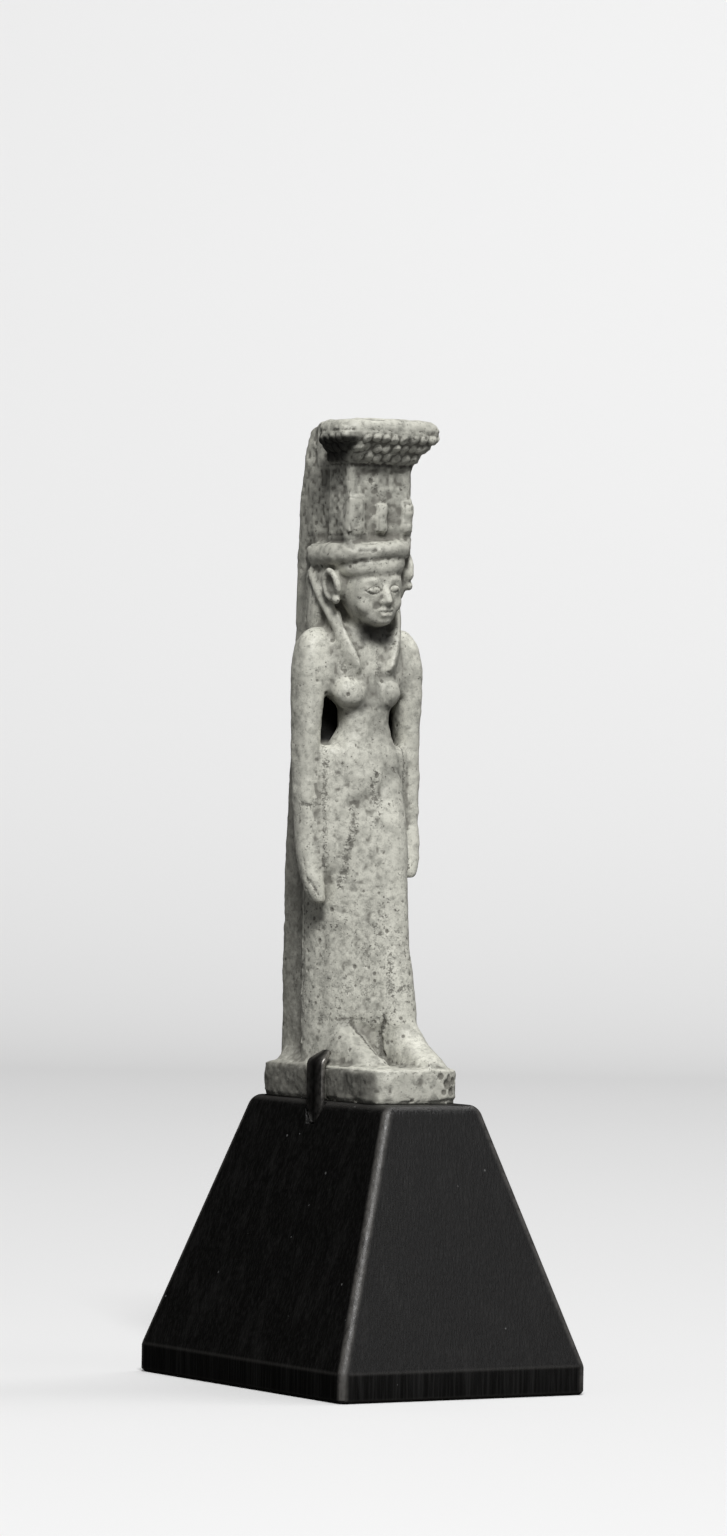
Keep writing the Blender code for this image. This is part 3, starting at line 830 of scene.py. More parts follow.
def trail(points):
    """Points of the grid along a bent line, close enough together to carve with."""
    out = []
    for start, end in zip(points, points[1:]):
        a, b = on_grid(*start), on_grid(*end)
        steps = max(int((b - a).length / (0.8 * GRID)), 1)
        out += [a.lerp(b, s / steps) for s in range(steps)]
    out.append(on_grid(*points[-1]))
    return out


def front(*points):
    """A line drawn on the front from pairs of (x, height)."""
    return FORWARD, [(x, 0, height) for x, height in points]


def flank(side, *points):
    """A line drawn on one side from pairs of (y, height)."""
    return (-side, 0, 0), [(0, y, height) for y, height in points]


def above(*points):
    """A line drawn from above from pairs of (x, y)."""
    return DOWN, [(x, y, 0) for x, y in points]


def carved_lines():
    """Every incised or raised line: (half width, depth in steps, line); a ridge is below zero."""
    lines = [
        (7.0, 1.6, front((-20, 262), (-20, 240), (-25, 215), (-26, 200), (-30, 181))),
        (2.6, 1.1, front((-66, 189), (-60, 182), (-54, 172))),
        (3.6, 3.0, front((1, 52), (0, 30), (2, 10))),
        (2.4, 1.6, front((-21, 45), (-15, 28), (-13, 12))),
        (2.4, 0.7, front((-38, 45), (-20, 47), (2, 46))),
        (3.0, 1.6, front((-38, 533.5), (-18, 533.5))),
        (3.4, 2.2, front((-36, 603), (36, 603))),
        (2.4, 0.9, front((-50, 638), (50, 638))),
        (2.2, -1.5, flank(-1, (55, 205), (56, 120), (57, 20))),
        (2.0, -1.3, flank(-1, (57, 500), (56, 445))),
        (1.5, 0.9, on_head((-7, 456.7), (-3, 456), (0, 456.3), (3, 456), (7, 456.7))),
        (2.6, 1.0, front((-68, 263), (-60, 260), (-53, 262))),
        (2.4, 0.6, front((-47, 326), (-48, 285), (-47, 200))),
        (3.4, 1.2, front((44, 326), (45, 260), (45, 200))),
    ]
    for side in (-1, 1):
        lines += [
            (1.5, 1.2, on_head((5 * side, 478.7), (8 * side, 481.8), (12.5 * side, 483.3),
                               (17 * side, 481.8), (20.5 * side, 478.9))),
            (1.4, 1.0, on_head((5 * side, 478.3), (9 * side, 475.6), (13 * side, 475),
                               (17 * side, 476.2), (20.5 * side, 478.5))),
            (2.0, 1.3, flank(side, (-12, 533.5), (40, 533.5))),
            (2.0, 1.2, flank(side, (-8, 604), (40, 604))),
            (2.0, 1.0, flank(side, (-40, 637.5), (22, 637.5))),
        ]
        for y in (14, 24, 33):
            lines.append((1.6, 1.0, flank(side, (y + 3, 208), (y, 186), (y + 2, 168))))
        for y in range(34, 60, 8):
            lines.append((1.6, 0.35, flank(side, (y - 4, 498), (y - 2, 480), (y + 3, 450))))
    for height in range(540, 568, 6):
        lines.append((2.0, 0.7, front((25, height), (37, height + 3))))
    return lines


def placed_pits():
    """Pits seen in set places: (radius in steps, direction, place)."""
    pits = [
        (3.0, FORWARD, (1, 0, 292)), (2.4, FORWARD, (-4, 0, 281)),
        (4.0, FORWARD, (24, 0, -7)), (5.4, FORWARD, (32, 0, -15)), (3.6, FORWARD, (35, 0, -8)),
        (4.6, FORWARD, (41, 0, -12)), (4.6, FORWARD, (37, 0, -23)), (3.2, FORWARD, (27, 0, -23)),
        (3.2, FORWARD, (-12, 0, 588)), (2.4, FORWARD, (4, 0, 568)), (2.0, FORWARD, (12, 0, 596)),
        (2.6, FORWARD, (-40, 0, 427)), (2.2, FORWARD, (-58, 0, 386)),
    ]
    draw = np.random.RandomState(41)
    for _ in range(7):
        pits.append((draw.uniform(1.3, 2.2), FORWARD,
                     (draw.uniform(-34, -24), 0, draw.uniform(386, 404))))
    for share in np.linspace(0.0, 1.0, 6):
        pits.append((1.8, DOWN, (5 - 2 * share, -36 - 44 * share, 0)))
    return pits


def pitted_trails():
    """Lines along which the surface is thick with fine pits: (reach in steps, strength, line)."""
    return [
        (5.0, 1.0, front((-46, 330), (-47, 285), (-46, 198))),
        (5.0, 1.0, front((44, 330), (45, 260), (45, 198))),
        (7.0, 1.0, front((-20, 262), (-20, 240), (-25, 215), (-26, 200), (-30, 181))),
        (4.0, 1.0, front((-66, 189), (-60, 182), (-54, 172))),
        (4.0, 1.0, front((1, 52), (1, 10))), (3.5, 1.0, front((-21, 45), (-15, 28), (-13, 12))),
        (4.0, 1.0, front((-38, 46), (2, 46))),
        (5.0, 1.0, above((5, -30), (4, -60), (3, -84))),
        (6.0, 1.0, front((-34, 404), (-24, 388))),
        (5.0, 1.0, front((6, 420), (6, 384))),
        (6.0, 1.0, front((0, 294), (-3, 280), (2, 262))),
        (6.0, 1.0, front((22, -8), (41, -20))),
        (5.0, 1.0, front((-68, 263), (-60, 260), (-53, 262))),
        (7.0, 1.0, front((8, 110), (6, 48))),
        (6.0, 1.0, front((-12, 590), (5, 566))),
        (5.0, 1.0, flank(-1, (60, 300), (62, 30))),
    ]


def shaded_trails():
    """Lines of painted shadow and old dirt: (reach in steps, strength, line)."""
    return [
        (4.0, 0.45, flank(-1, (29, 540), (30, 602))),
        (6.0, 0.5, flank(-1, (34, 529), (-8, 529))),
        (4.0, 0.35, front((-38, 531), (-18, 531))),
        (5.0, 0.4, front((-22, 603), (38, 603))),
        (3.0, 0.3, front((-21, 46), (-15, 28), (-13, 12))),
        (4.5, 0.4, front((1, 50), (0, 30), (2, 10))),
        (5.0, 0.4, front((-36, 449), (-30, 440), (-14, 436), (2, 438))),
        (5.0, 0.35, flank(-1, (18, 468), (4, 464))),
        (5.0, 0.4, front((-34, 361), (-12, 359), (0, 364))),
        (4.0, 0.3, front((6, 361), (24, 360))),
    ]


def painted_highlight_trails():
    """Lines of painted highlight: (reach in steps, strength, line)."""
    return [
        (7.0, 0.7, front((-41, 468), (-36, 446), (-27, 417), (-18, 394))),
        (3.4, 1.0, flank(-1, (55, 205), (56, 120), (57, 20))),
        (3.2, 0.9, flank(-1, (57, 500), (56, 445))),
        (4.0, 0.6, front((32, 536), (32, 570))),
        (4.0, 0.4, front((0, 536), (0, 566))),
    ]


def basket_beads():
    """Middle points of the woven rows round the basket, each row set off from the next."""
    draw = np.random.RandomState(5)
    places = []
    for row, height in enumerate((611, 620, 629)):
        shift = 5.5 * (row % 2)
        for x in np.arange(-55 + shift, 56, 11.0):
            places.append((FORWARD, (x + draw.uniform(-1.2, 1.2), 0, height + draw.uniform(-1, 1))))
        for y in np.arange(-36 + shift, 24, 11.0):
            places += [((1, 0, 0), (0, y, height)), ((-1, 0, 0), (0, y, height))]
    return places


def scattered_pits(surface, count):
    """Seeded pits all over, closest on the lower skirt and the slab."""
    draw = np.random.RandomState(7)
    height = (surface.points[:, 2] - SLAB_TOP) / GRID
    chance = 0.25 + 0.9 * smooth_step(height, 20, 45) * (1 - smooth_step(height, 150, 200))
    chance += 0.5 * (1 - smooth_step(height, -4, 0))
    chance *= 1 - 0.85 * smooth_step(height, 440, 447) * (1 - smooth_step(height, 497, 503))
    chosen = draw.choice(surface.count, count, replace=False, p=chance / chance.sum())
    radii = (1.2 + 1.6 * draw.uniform(0.0, 1.0, count) ** 2) * GRID
    return [Vector(surface.points[k]) for k in chosen], radii


def carve(surface, settings):
    """Move the fused figure's points: incised lines, basket weave, pits and uneven wear."""
    points = surface.points
    height = (points[:, 2] - SLAB_TOP) / GRID
    face = smooth_step(height, 440, 447) * (1 - smooth_step(height, 492, 498))
    shift = np.zeros(surface.count)
    worn = np.clip(0.55 + 0.75 * lattice_noise(points, 0.55 * MM, 6), 0.0, 1.0)
    worn = worn * (1 - face) + face
    draw = np.random.RandomState(3)
    for half_width, depth, (way, line) in carved_lines():
        wander = 0.0 if half_width < FINE_LINE else LINE_WANDER
        line = [point + Vector(draw.uniform(-wander, wander, 3)) for point in trail(line)]
        near = surface.nearness(surface.laid_on(line, way), half_width * GRID)
        shift -= depth * GRID * worn * smooth_step(near, 0.0, 1.0)
    beads = []
    for way, point in basket_beads():
        beads += surface.laid_on([on_grid(*point)], way)
    woven = smooth_step(surface.nearness(beads, BEAD_REACH), 0.05, 0.65)
    shift += BEAD_RISE * (0.4 + 0.6 * worn) * woven

    places, radii = scattered_pits(surface, settings.pits)
    for radius, way, point in placed_pits():
        for hit in surface.laid_on([on_grid(*point)], way):
            places.append(hit)
            radii = np.append(radii, radius * GRID)
    shift -= PIT_DEPTH_SHARE * surface.dents(places, radii)

    rough = smooth_step(height, 500, 530) + 1 - smooth_step(height, -5, 2)
    calm = (1 - 0.8 * face) * (1 + 0.9 * rough)
    for cell, seed, share, sinking in WEAR_LAYERS:
        shift += calm * settings.wear * (lattice_noise(points, cell, seed) * share - sinking)
    chips = np.maximum(lattice_noise(points, 1.1 * MM, 4) - 0.25, 0.0)
    edge = smooth_step(-surface.hollow(6), 0.006 * MM, 0.03 * MM)
    shift -= calm * edge * (EDGE_WEAR + CHIP_DEPTH * chips)

    flat = points[:, 2] < SLAB_FOOT + 0.1 * MM
    carved = points + surface.normals * shift[:, None]
    carved[flat, 2] = SLAB_FOOT
    lowest = (FIGURE_LOW.x, FIGURE_LOW.y, SLAB_FOOT)
    carved = np.clip(carved, np.array(lowest), np.array(FIGURE_HIGH))
    surface.points = carved
    surface.write()
    return places, radii


def near_trails(surface, trails, full):
    """Nearness of every point to the given trails, at its strongest on the lines."""
    best = np.zeros(surface.count)
    for reach, strength, (way, line) in trails:
        near = surface.nearness(surface.laid_on(trail(line), way), reach * GRID)
        best = np.maximum(best, strength * smooth_step(near, 0.0, full))
    return best


def slab_side_share(x, height):
    """The slab's right side, made darker than its front."""
    return smooth_step(-x, 44, 49) * beneath(height, -6, 0)


def earth_share(x, y, height):
    """Where the surface is dull with earth: the pillar and the low places at its foot."""
    pillar = smooth_step(y, 56, 66) * smooth_step(height, -2, 4)
    pillar *= 0.8 - 0.58 * smooth_step(height, 320, 480)
    lower = smooth_step(y, -10, 20) * beneath(height, -2, 4)
    return np.maximum.reduce([pillar, lower, 0.8 * slab_side_share(x, height)])


def painted_shade_and_dirt_share(x, y, height):
    """Where painted shade and thick dirt lie: the waist's recesses, under the basket and under the
    chin.
    """
    waist = within(y, 28, 36, 52, 58) * within(height, 322, 328, 372, 380) * (np.abs(x) < 54)
    under = smooth_step(-x, 38, 46) * within(height, 600, 606, 628, 636)
    chin = within(height, 418, 430, 442, 450) * within(y, -16, -6, 30, 40)
    chin *= beneath(np.abs(x - 6), 14, 26)
    slab_side = slab_side_share(x, height)
    return np.maximum.reduce([waist, 0.9 * under, 0.85 * chin, 0.4 * slab_side])


def stain_and_shade_share(x, y, height, upward):
    """Where the faience is browned by stains on the chest, enclosure sign, rim, slab and far foot,
    and darkened by painted shade in the hollow of the lap and on the tops of the near toes.
    """
    # Painted shade in the hollow of the lap, beside the far arm.
    lap = within(x, 4, 12, 32, 40) * within(height, 262, 276, 300, 316) * beneath(y, 30, 40)
    chest = within(x, -14, -2, 26, 36) * within(height, 318, 335, 392, 404) * beneath(y, 30, 40)
    sign = within(height, 500, 512, 606, 612)
    corner = sign * smooth_step(-x, 16, 24) * beneath(y, -10, 0)
    rim = smooth_step(height, 632, 638)
    # Painted shade on the upward-facing tops of the near toes.
    toes = smooth_step(-x, 2, 8) * within(height, 1, 4, 44, 54) * beneath(y, 4, 24)
    toes *= smooth_step(upward, 0.0, 0.4)
    slab = beneath(height, -4, 2)
    far_foot = smooth_step(x, 26, 38) * beneath(height, 44, 54)
    return np.maximum.reduce([0.55 * lap, 0.6 * chest, 0.5 * sign + 0.2 * corner, 0.35 * rim,
                              0.6 * toes, 0.3 * slab, 0.35 * far_foot])


def bare_and_highlight_share(x, y, height):
    """Where the faience is paler: painted highlights on the advanced thigh, the near hip and the
    weave, painted light on the skirt's near side at the foot, and bare faience on the skirt and the
    arms.
    """
    bend = 20 * smooth_step(height, 150, 200)
    # Painted highlight on the front of the advanced thigh.
    leg = smooth_step(x, 2 - bend, 12 - bend) * beneath(x, 32, 42)
    leg *= within(height, 60, 90, 250, 270) * beneath(y, 0, 12)
    # Painted highlight on the bulge of the near hip.
    hip = within(-x, 18, 26, 50, 56) * within(height, 222, 236, 312, 326) * beneath(y, 16, 24)
    skirt = within(height, 8, 40, 170, 230)
    # Painted light on the near side at the foot, where shade falls.
    side = smooth_step(-x, 24, 32) * within(height, 1, 4, 40, 60) * beneath(y, 40, 56)
    # Painted highlight on the basket's weave.
    weave = within(height, 606, 612, 630, 636)
    arms = smooth_step(np.abs(x), 44, 50) * within(height, 150, 170, 420, 440)
    return np.maximum.reduce([leg, 0.9 * hip, 0.8 * skirt, side, 0.6 * weave, 0.4 * arms])


def mark_surface(surface, places, radii):
    """Leave numbers on the mesh for the faience finish to read."""
    x, y = surface.points[:, 0] / GRID, surface.points[:, 1] / GRID
    height = (surface.points[:, 2] - SLAB_TOP) / GRID
    pits = surface.dents(places, radii * 1.15) / (1.5 * GRID)
    # Painted shade, with thick dirt, where shadows fall deep.
    painted_shade_and_dirt = np.maximum(painted_shade_and_dirt_share(x, y, height), near_trails(surface, shaded_trails(), 0.9))
    # Painted highlights and painted light, with bare paler faience.
    pale = np.maximum(bare_and_highlight_share(x, y, height), near_trails(surface, painted_highlight_trails(), 0.7))
    pitted = np.maximum(0.3 * within(height, 30, 50, 150, 190),
                        near_trails(surface, pitted_trails(), 0.8))
    marks = {
        "hollow": surface.hollow(4) / HOLLOW_DEPTH,
        "recess": surface.hollow(40) / RECESS_DEPTH,
        "pit": pits,
        "earth": earth_share(x, y, height),
        "painted_shade_and_dirt": painted_shade_and_dirt,
        # Stains, and painted shade in the lap's hollow and on the toes' tops.
        "stain_and_shade": stain_and_shade_share(x, y, height, surface.normals[:, 2]),
        "pale": pale,
        "pitted": pitted,
    }
    for name, values in marks.items():
        surface.mark(name, np.clip(values, -1.0, 1.0))


def evaluated(made):
    """The object's mesh with its modifiers applied."""
    bpy.context.view_layer.update()
    graph = bpy.context.evaluated_depsgraph_get()
    return bpy.data.meshes.new_from_object(made.evaluated_get(graph), depsgraph=graph)


def add_piece(name, mesh, material):
    made = bpy.data.objects.new(name, mesh)
    mesh.materials.clear()
    mesh.materials.append(material)
    bpy.context.scene.collection.objects.link(made)
    return made


def mesh_of(shape, name):
    bmesh.ops.recalc_face_normals(shape, faces=shape.faces)
    mesh = bpy.data.meshes.new(name)
    shape.to_mesh(mesh)
    shape.free()
    return mesh


def through(mesh, *modifiers):
    """The mesh after a row of (type, settings) modifiers, as a new mesh."""
    carrier = bpy.data.objects.new("carrier", mesh)
    bpy.context.scene.collection.objects.link(carrier)
    for kind, settings in modifiers:
        modifier = carrier.modifiers.new(kind.lower(), kind)
        for name, value in settings.items():
            setattr(modifier, name, value)
    made = evaluated(carrier)
    bpy.data.objects.remove(carrier)
    return made


def figure_mesh(settings):
    """The whole figure fused, carved, worn and thinned to its number of faces."""
    shape = bmesh.new()
    build_slab(shape)
    build_pillar(shape)
    build_legs(shape)
    build_feet(shape)
    build_torso(shape)
    build_arm(shape, -1, hand_end=162, swing=0.0)
    build_arm(shape, 1, hand_end=188, swing=18.0)
    build_neck(shape)
    rolled(shape, build_head)
    rolled(shape, build_cap)
    build_wig(shape)
    build_headdress(shape)
    fineness = settings.fineness * 1.0
    fused = through(mesh_of(shape, "figure_forms"),
                    ("REMESH", {"mode": "VOXEL", "voxel_size": fineness,
                                "adaptivity": 0.0}),
                    ("SMOOTH", {"factor": 0.5, "iterations": 2}))
    rounded = Points(fused)
    height = (rounded.points[:, 2] - SLAB_TOP) / GRID
    crisp = smooth_step(height, *NECK_HEIGHTS)
    rounded.relax(ROUNDING_ROUNDS, fill=1.0, wear=RIDGE_WEAR, share=1.0 - HEAD_CRISPNESS * crisp)
    rounded.write()
    places, radii = carve(Surface(fused), settings)
    triangles = sum(len(face.vertices) - 2 for face in fused.polygons)
    share = min(1.0, settings.faces / triangles)
    thinned = through(fused, ("DECIMATE", {"ratio": share}))
    thinned.name = "figure"
    mark_surface(Surface(thinned), places, radii)
    thinned.shade_smooth()
    return thinned


# Finishes


def faience_finish(settings):
    """Weathered faience: pale granular body with painted highlights, darker where dirt has settled
    and where shade is painted, fine open pits.
    """
    finish = Finish("weathered_faience", Specular_IOR_Level=0.35)
    body = tuple(settings.body_colour)
    soil = tuple(settings.soil_colour)
    bleached_and_highlight = tuple(min(1.0, c * 1.3) for c in body)
    stained_and_shaded = tuple(c * 0.5 for c in body)
    broad = finish.clouds(1.7 * MM, detail=4.0)
    blotch = finish.clouds(0.95 * MM, detail=5.0, roughness=0.6, shift=0.19)
    mottle = finish.clouds(0.42 * MM, detail=5.0, roughness=0.62, shift=0.31)
    grain = finish.clouds(0.12 * MM, detail=3.0, roughness=0.65, shift=0.57)
    hollow = finish.mark("hollow")
    recess = finish.mark("recess")
    earth = finish.mark("earth")
    pitted = finish.mark("pitted")

    colour = finish.mix(broad.rise(0.38, 0.62), body, bleached_and_highlight)
    # Painted highlights and painted light, with bare paler faience.
    colour = finish.mix(finish.mark("pale") * 0.8, colour, bleached_and_highlight)
    colour = finish.mix(blotch.rise(0.46, 0.66) * 0.5, colour, stained_and_shaded)
    colour = finish.mix(mottle.rise(0.47, 0.7) * 0.5, colour, stained_and_shaded)
    colour = finish.mix(grain.rise(0.42, 0.75) * 0.4, colour, stained_and_shaded)
    # Stains, and painted shade in the lap's hollow and on the toes' tops.
    colour = finish.mix(finish.mark("stain_and_shade"), colour, stained_and_shaded)
    proud = (hollow * -1.0).rise(0.05, 0.8) * (1.0 - earth * 0.7)
    colour = finish.mix(proud * 0.4, colour, bleached_and_highlight)

    crowded = pitted * 0.11 + finish.clouds(1.2 * MM, detail=2.0, shift=0.67) * 0.28 - 0.14
    small = finish.clouds(0.15 * MM, detail=2.0, roughness=0.55, shift=0.83) + crowded
    large = finish.clouds(0.27 * MM, detail=2.0, roughness=0.5, shift=0.07) + crowded
    open_pits = (small.rise(0.68, 0.73) * 0.75).at_least(large.rise(0.70, 0.74))
    veins = (finish.clouds(0.62 * MM, detail=4.0, roughness=0.6, shift=0.47) - 0.5).size()
    veins = veins.rise(0.035, 0.0) * (mottle.rise(0.4, 0.6) * 0.3 + pitted * 0.35)
    # Darker in hollows and recesses: dirt and painted shade.
    dirt = hollow.rise(0.12, 1.0) * 0.7
    dirt = dirt.at_least(recess.rise(0.12, 0.95) * 0.5)
    dirt = dirt.at_least(finish.mark("pit").rise(0.4, 1.0) * 0.7)
    dirt = dirt.at_least(open_pits * 0.72).at_least(veins)
    patches = finish.clouds(0.75 * MM, detail=5.0, roughness=0.65, shift=0.77)
    dirt = dirt.at_least(earth * (patches.rise(0.3, 0.75) * 0.5 + 0.32))
    colour = finish.mix(dirt, colour, soil)
    # Near-black painted shade, with thick dirt, under the chin and the basket, in the waist's
    # recesses and along the shaded trails.
    colour = finish.mix(finish.mark("painted_shade_and_dirt"), colour, tuple(c * 0.08 for c in soil))

    height = grain * 0.4 + mottle * 0.9 + blotch * 0.8 - open_pits * 1.2 - veins * 0.7
    rough = 0.62 + dirt * 0.25 - proud * 0.14
    finish.shade(Base_Color=colour, Roughness=rough, Normal=finish.bump(height, 0.04 * MM, 1.0))
    return finish.material


def corner_closeness(finish, x, y, z):
    """How near the surface is to the stand's upright corners, 1 on a corner."""
    band = STAND_BAND_HEIGHT
    rise = (z.at_least(band) - band) / (STAND_HEIGHT - band)
    half_width = rise * (STAND_TOP[0] - STAND_BOTTOM[0]) + STAND_BOTTOM[0]
    half_depth = rise * (STAND_TOP[1] - STAND_BOTTOM[1]) + STAND_BOTTOM[1]
    away = (half_width - x.size()) + (half_depth - y.size())
    return away.rise(0.75 * MM, 0.3 * MM)


def wood_finish(settings):
    """Ebonised wood: satin black with fine upright grain, rubbed paler along its edges."""
    finish = Finish("ebonised_wood", Specular_IOR_Level=0.5)
    wood = tuple(settings.colour)
    pale = tuple(c * 3.0 for c in wood)
    x, y, z = finish.separate(finish.place)
    grain = finish.clouds(0.16 * MM, detail=4.0, roughness=0.6,
                          place=finish.stretched((1.0, 1.0, 0.035)))
    streaks = finish.clouds(1.1 * MM, detail=3.0, place=finish.stretched((1.0, 1.0, 0.06)))
    dust = finish.specks(0.9 * MM, 0.05, 0.3, shift=0.4)
    colour = finish.mix(grain.rise(0.42, 0.75) * 0.6, wood, pale)
    colour = finish.mix(streaks.rise(0.5, 0.7) * 0.35, colour, pale)
    handling = finish.clouds(0.8 * MM, detail=5.0, roughness=0.7, shift=0.9)
    corner = corner_closeness(finish, x, y, z) * (handling.rise(0.25, 0.6) * 0.75 + 0.25)
    brim = z.rise(STAND_HEIGHT - 0.5 * MM, STAND_HEIGHT - 0.1 * MM)
    brim = brim * z.rise(STAND_HEIGHT, STAND_HEIGHT - 0.1 * MM) * 0.35
    step = (z - STAND_BAND_HEIGHT).size().rise(0.22 * MM, 0.0) * 0.2
    foot_edge = z.rise(0.4 * MM, 0.1 * MM) * 0.25
    rubbed = corner.at_least(brim).at_least(step).at_least(foot_edge)
    colour = finish.mix(rubbed, colour, tuple(settings.rubbed_colour))
    colour = finish.mix(dust * 0.5, colour, (0.2, 0.2, 0.2))
    rough = 0.33 + grain.rise(0.38, 0.7) * 0.16 + streaks.rise(0.4, 0.65) * 0.07 + rubbed * 0.08
    height = grain.rise(0.3, 0.7)
    finish.shade(Base_Color=colour, Roughness=rough, Normal=finish.bump(height, 0.018 * MM, 0.8))
    return finish.material


def metal_finish(settings):
    """Darkened metal: smoky, uneven, brighter where its edges are rubbed."""
    finish = Finish("dark_metal", Metallic=1.0)
    metal = tuple(settings.colour)
    bright = tuple(min(1.0, c * 9.0) for c in metal)
    smoke = finish.clouds(0.5 * MM, detail=5.0, roughness=0.65)
    scratches = finish.clouds(0.09 * MM, detail=2.0, place=finish.stretched((1.0, 1.0, 0.1)))
    rubbed = finish.mark("edge") * (smoke.rise(0.3, 0.6) * 0.6 + 0.3)
    colour = finish.mix(smoke.rise(0.35, 0.75) * 0.5, metal, tuple(c * 2.2 for c in metal))
    colour = finish.mix(rubbed, colour, bright)
    rough = 0.38 + smoke * 0.2
    height = scratches * 0.6 + smoke * 0.4
    finish.shade(Base_Color=colour, Roughness=rough, Normal=finish.bump(height, 0.01 * MM, 0.5))
    return finish.material


def floor_finish(settings):
    """A smooth pale floor."""
    finish = Finish("pale_floor", Roughness=0.55, Specular_IOR_Level=0.3)
    tone = tuple(settings.floor_colour)
    drift = finish.clouds(120.0 * MM, detail=2.0)
    colour = finish.mix(drift.rise(0.3, 0.7) * 0.3, tone, tuple(c * 0.985 for c in tone))
    finish.shade(Base_Color=colour)
    return finish.material


# Stand and clips


def stand_ring(half_width, half_depth, radius, z):
    """A level rectangle with rounded corners, each corner an arc."""
    points = []
    arc = 8
    for sign_x, sign_y, start in ((1, 1, 0.0), (-1, 1, 90.0), (-1, -1, 180.0), (1, -1, 270.0)):
        middle_x = sign_x * (half_width - radius)
        middle_y = sign_y * (half_depth - radius)
        for step in range(arc + 1):
            turn = math.radians(start + 90.0 * step / arc)
            points.append(Vector((middle_x + radius * math.cos(turn),
                                  middle_y + radius * math.sin(turn), z)))
    return points


def stand_sizes_at(z):
    """Half width and half depth of the block at a height."""
    share = max(z - STAND_BAND_HEIGHT, 0.0) / (STAND_HEIGHT - STAND_BAND_HEIGHT)
    return [low + (high - low) * share for low, high in zip(STAND_BOTTOM, STAND_TOP)]


def stand_mesh(settings):
    """The pyramid block over its band, with softened edges and a slot for each clip's leg."""
    shape = bmesh.new()
    levels = [(0.0, STAND_FOOT_CHAMFER), (0.1 * MM, 0.12 * MM), (STAND_FOOT_CHAMFER, 0.0)]
    levels += [(STAND_BAND_HEIGHT - 0.1 * MM, 0.0), (STAND_BAND_HEIGHT + 0.02 * MM, 0.02 * MM)]
    levels += [(STAND_BAND_HEIGHT + 0.15 * MM, 0.005 * MM)]
    levels += [(z * MM, 0.0) for z in (6.0, 12.0, 17.0)]
    rounding = settings.top_rounding
    for step in range(9):
        turn = math.radians(90.0 * step / 8)
        levels.append((STAND_HEIGHT - rounding * (1 - math.sin(turn)),
                       rounding * 0.75 * (1 - math.cos(turn))))
    rings = []
    for z, inset in levels:
        half_width, half_depth = stand_sizes_at(z)
        radius = max(settings.corner - inset * 0.3, 0.1 * MM)
        rings.append(stand_ring(half_width - inset, half_depth - inset, radius, z))
    join_rings(shape, rings)
    block_mesh = mesh_of(shape, "stand_block")
    cutters = []
    for side in (-1, 1):
        slot = bmesh.new()
        near = side * (clip_inner_face() - SLOT_CLEARANCE)
        outline = pointed_outline(CLIP_WIDTH / 2 + SLOT_CLEARANCE, CLIP_POINT_LENGTH,
                                  STAND_HEIGHT - CLIP_LEG_IN_STAND - SLOT_CLEARANCE,
                                  STAND_HEIGHT + settings.top_rounding)
        join_rings(slot, [[Vector((x, CLIP_SET_BACK + y, z)) for y, z in outline]
                          for x in (near, side * STAND_BOTTOM[0])])
        cutter = bpy.data.objects.new("slot_cutter", mesh_of(slot, "slot"))
        bpy.context.scene.collection.objects.link(cutter)
        cutters.append(cutter)
    cuts = [("BOOLEAN", {"operation": "DIFFERENCE", "solver": "EXACT", "object": cutter})
            for cutter in cutters]
    made = through(block_mesh, *cuts)
    for cutter in cutters:
        bpy.data.objects.remove(cutter)
    made.name = "stand"
    made.shade_smooth()
    made.set_sharp_from_angle(angle=math.radians(35.0))
    return through(made, ("WEIGHTED_NORMAL", {"keep_sharp": True, "weight": 90}))


def clip_inner_face():
    """Distance from the middle to the inner face of a clip's leg."""
    return SLAB_WIDTH / 2 + CLIP_GAP


def pointed_outline(half_width, point_length, low, high):
    """An upright strip seen from the side, with its foot cut to a blunt point."""
    tip = half_width * CLIP_TIP_SHARE
    return ((-half_width, high), (half_width, high), (half_width, low + point_length),
            (tip, low), (-tip, low), (-half_width, low + point_length))


def clip_path():
    """Middle line of a clip from its point up, over the bend and along the finger."""
    out = CLIP_THICKNESS / 2
    foot_z = STAND_HEIGHT - CLIP_LEG_IN_STAND
    radius = CLIP_BEND_RADIUS + CLIP_THICKNESS / 2
    path = []
    for share in (0.0, 0.25, 0.5, 0.75, 1.0):
        path.append((out, foot_z + CLIP_POINT_LENGTH * share,
                     CLIP_TIP_SHARE + (1.0 - CLIP_TIP_SHARE) * share))
    for share in (0.35, 0.7, 1.0):
        low = foot_z + CLIP_POINT_LENGTH
        path.append((out, low + (SLAB_TOP - low) * share, 1.0))
    bends = 10
    for step in range(1, bends + 1):
        turn = CLIP_FINGER_LEAN * step / bends
        path.append((out - radius * (1 - math.cos(turn)), SLAB_TOP + radius * math.sin(turn), 1.0))
    last_x, last_z, _ = path[-1]
    room = SLAB_SIDE_LEDGE + FOOT_SET_IN + CLIP_GAP - FINGER_GAP
    length = (room + last_x) / math.sin(CLIP_FINGER_LEAN)
    for share in (0.2, 0.4, 0.6, 0.8, 1.0):
        path.append((last_x - length * share * math.sin(CLIP_FINGER_LEAN),
                     last_z + length * share * math.cos(CLIP_FINGER_LEAN),
                     1.0 - (1.0 - CLIP_TIP_SHARE) * share))
    return path


def clip_section(half_width, half_thickness, edge):
    """The strip cut across: a rectangle with filed corners."""
    narrow, thin = half_width - edge, half_thickness - edge
    return ((half_width, -thin), (half_width, thin), (narrow, half_thickness),
            (0.0, half_thickness), (-narrow, half_thickness), (-half_width, thin),
            (-half_width, -thin), (-narrow, -half_thickness), (0.0, -half_thickness),
            (narrow, -half_thickness))


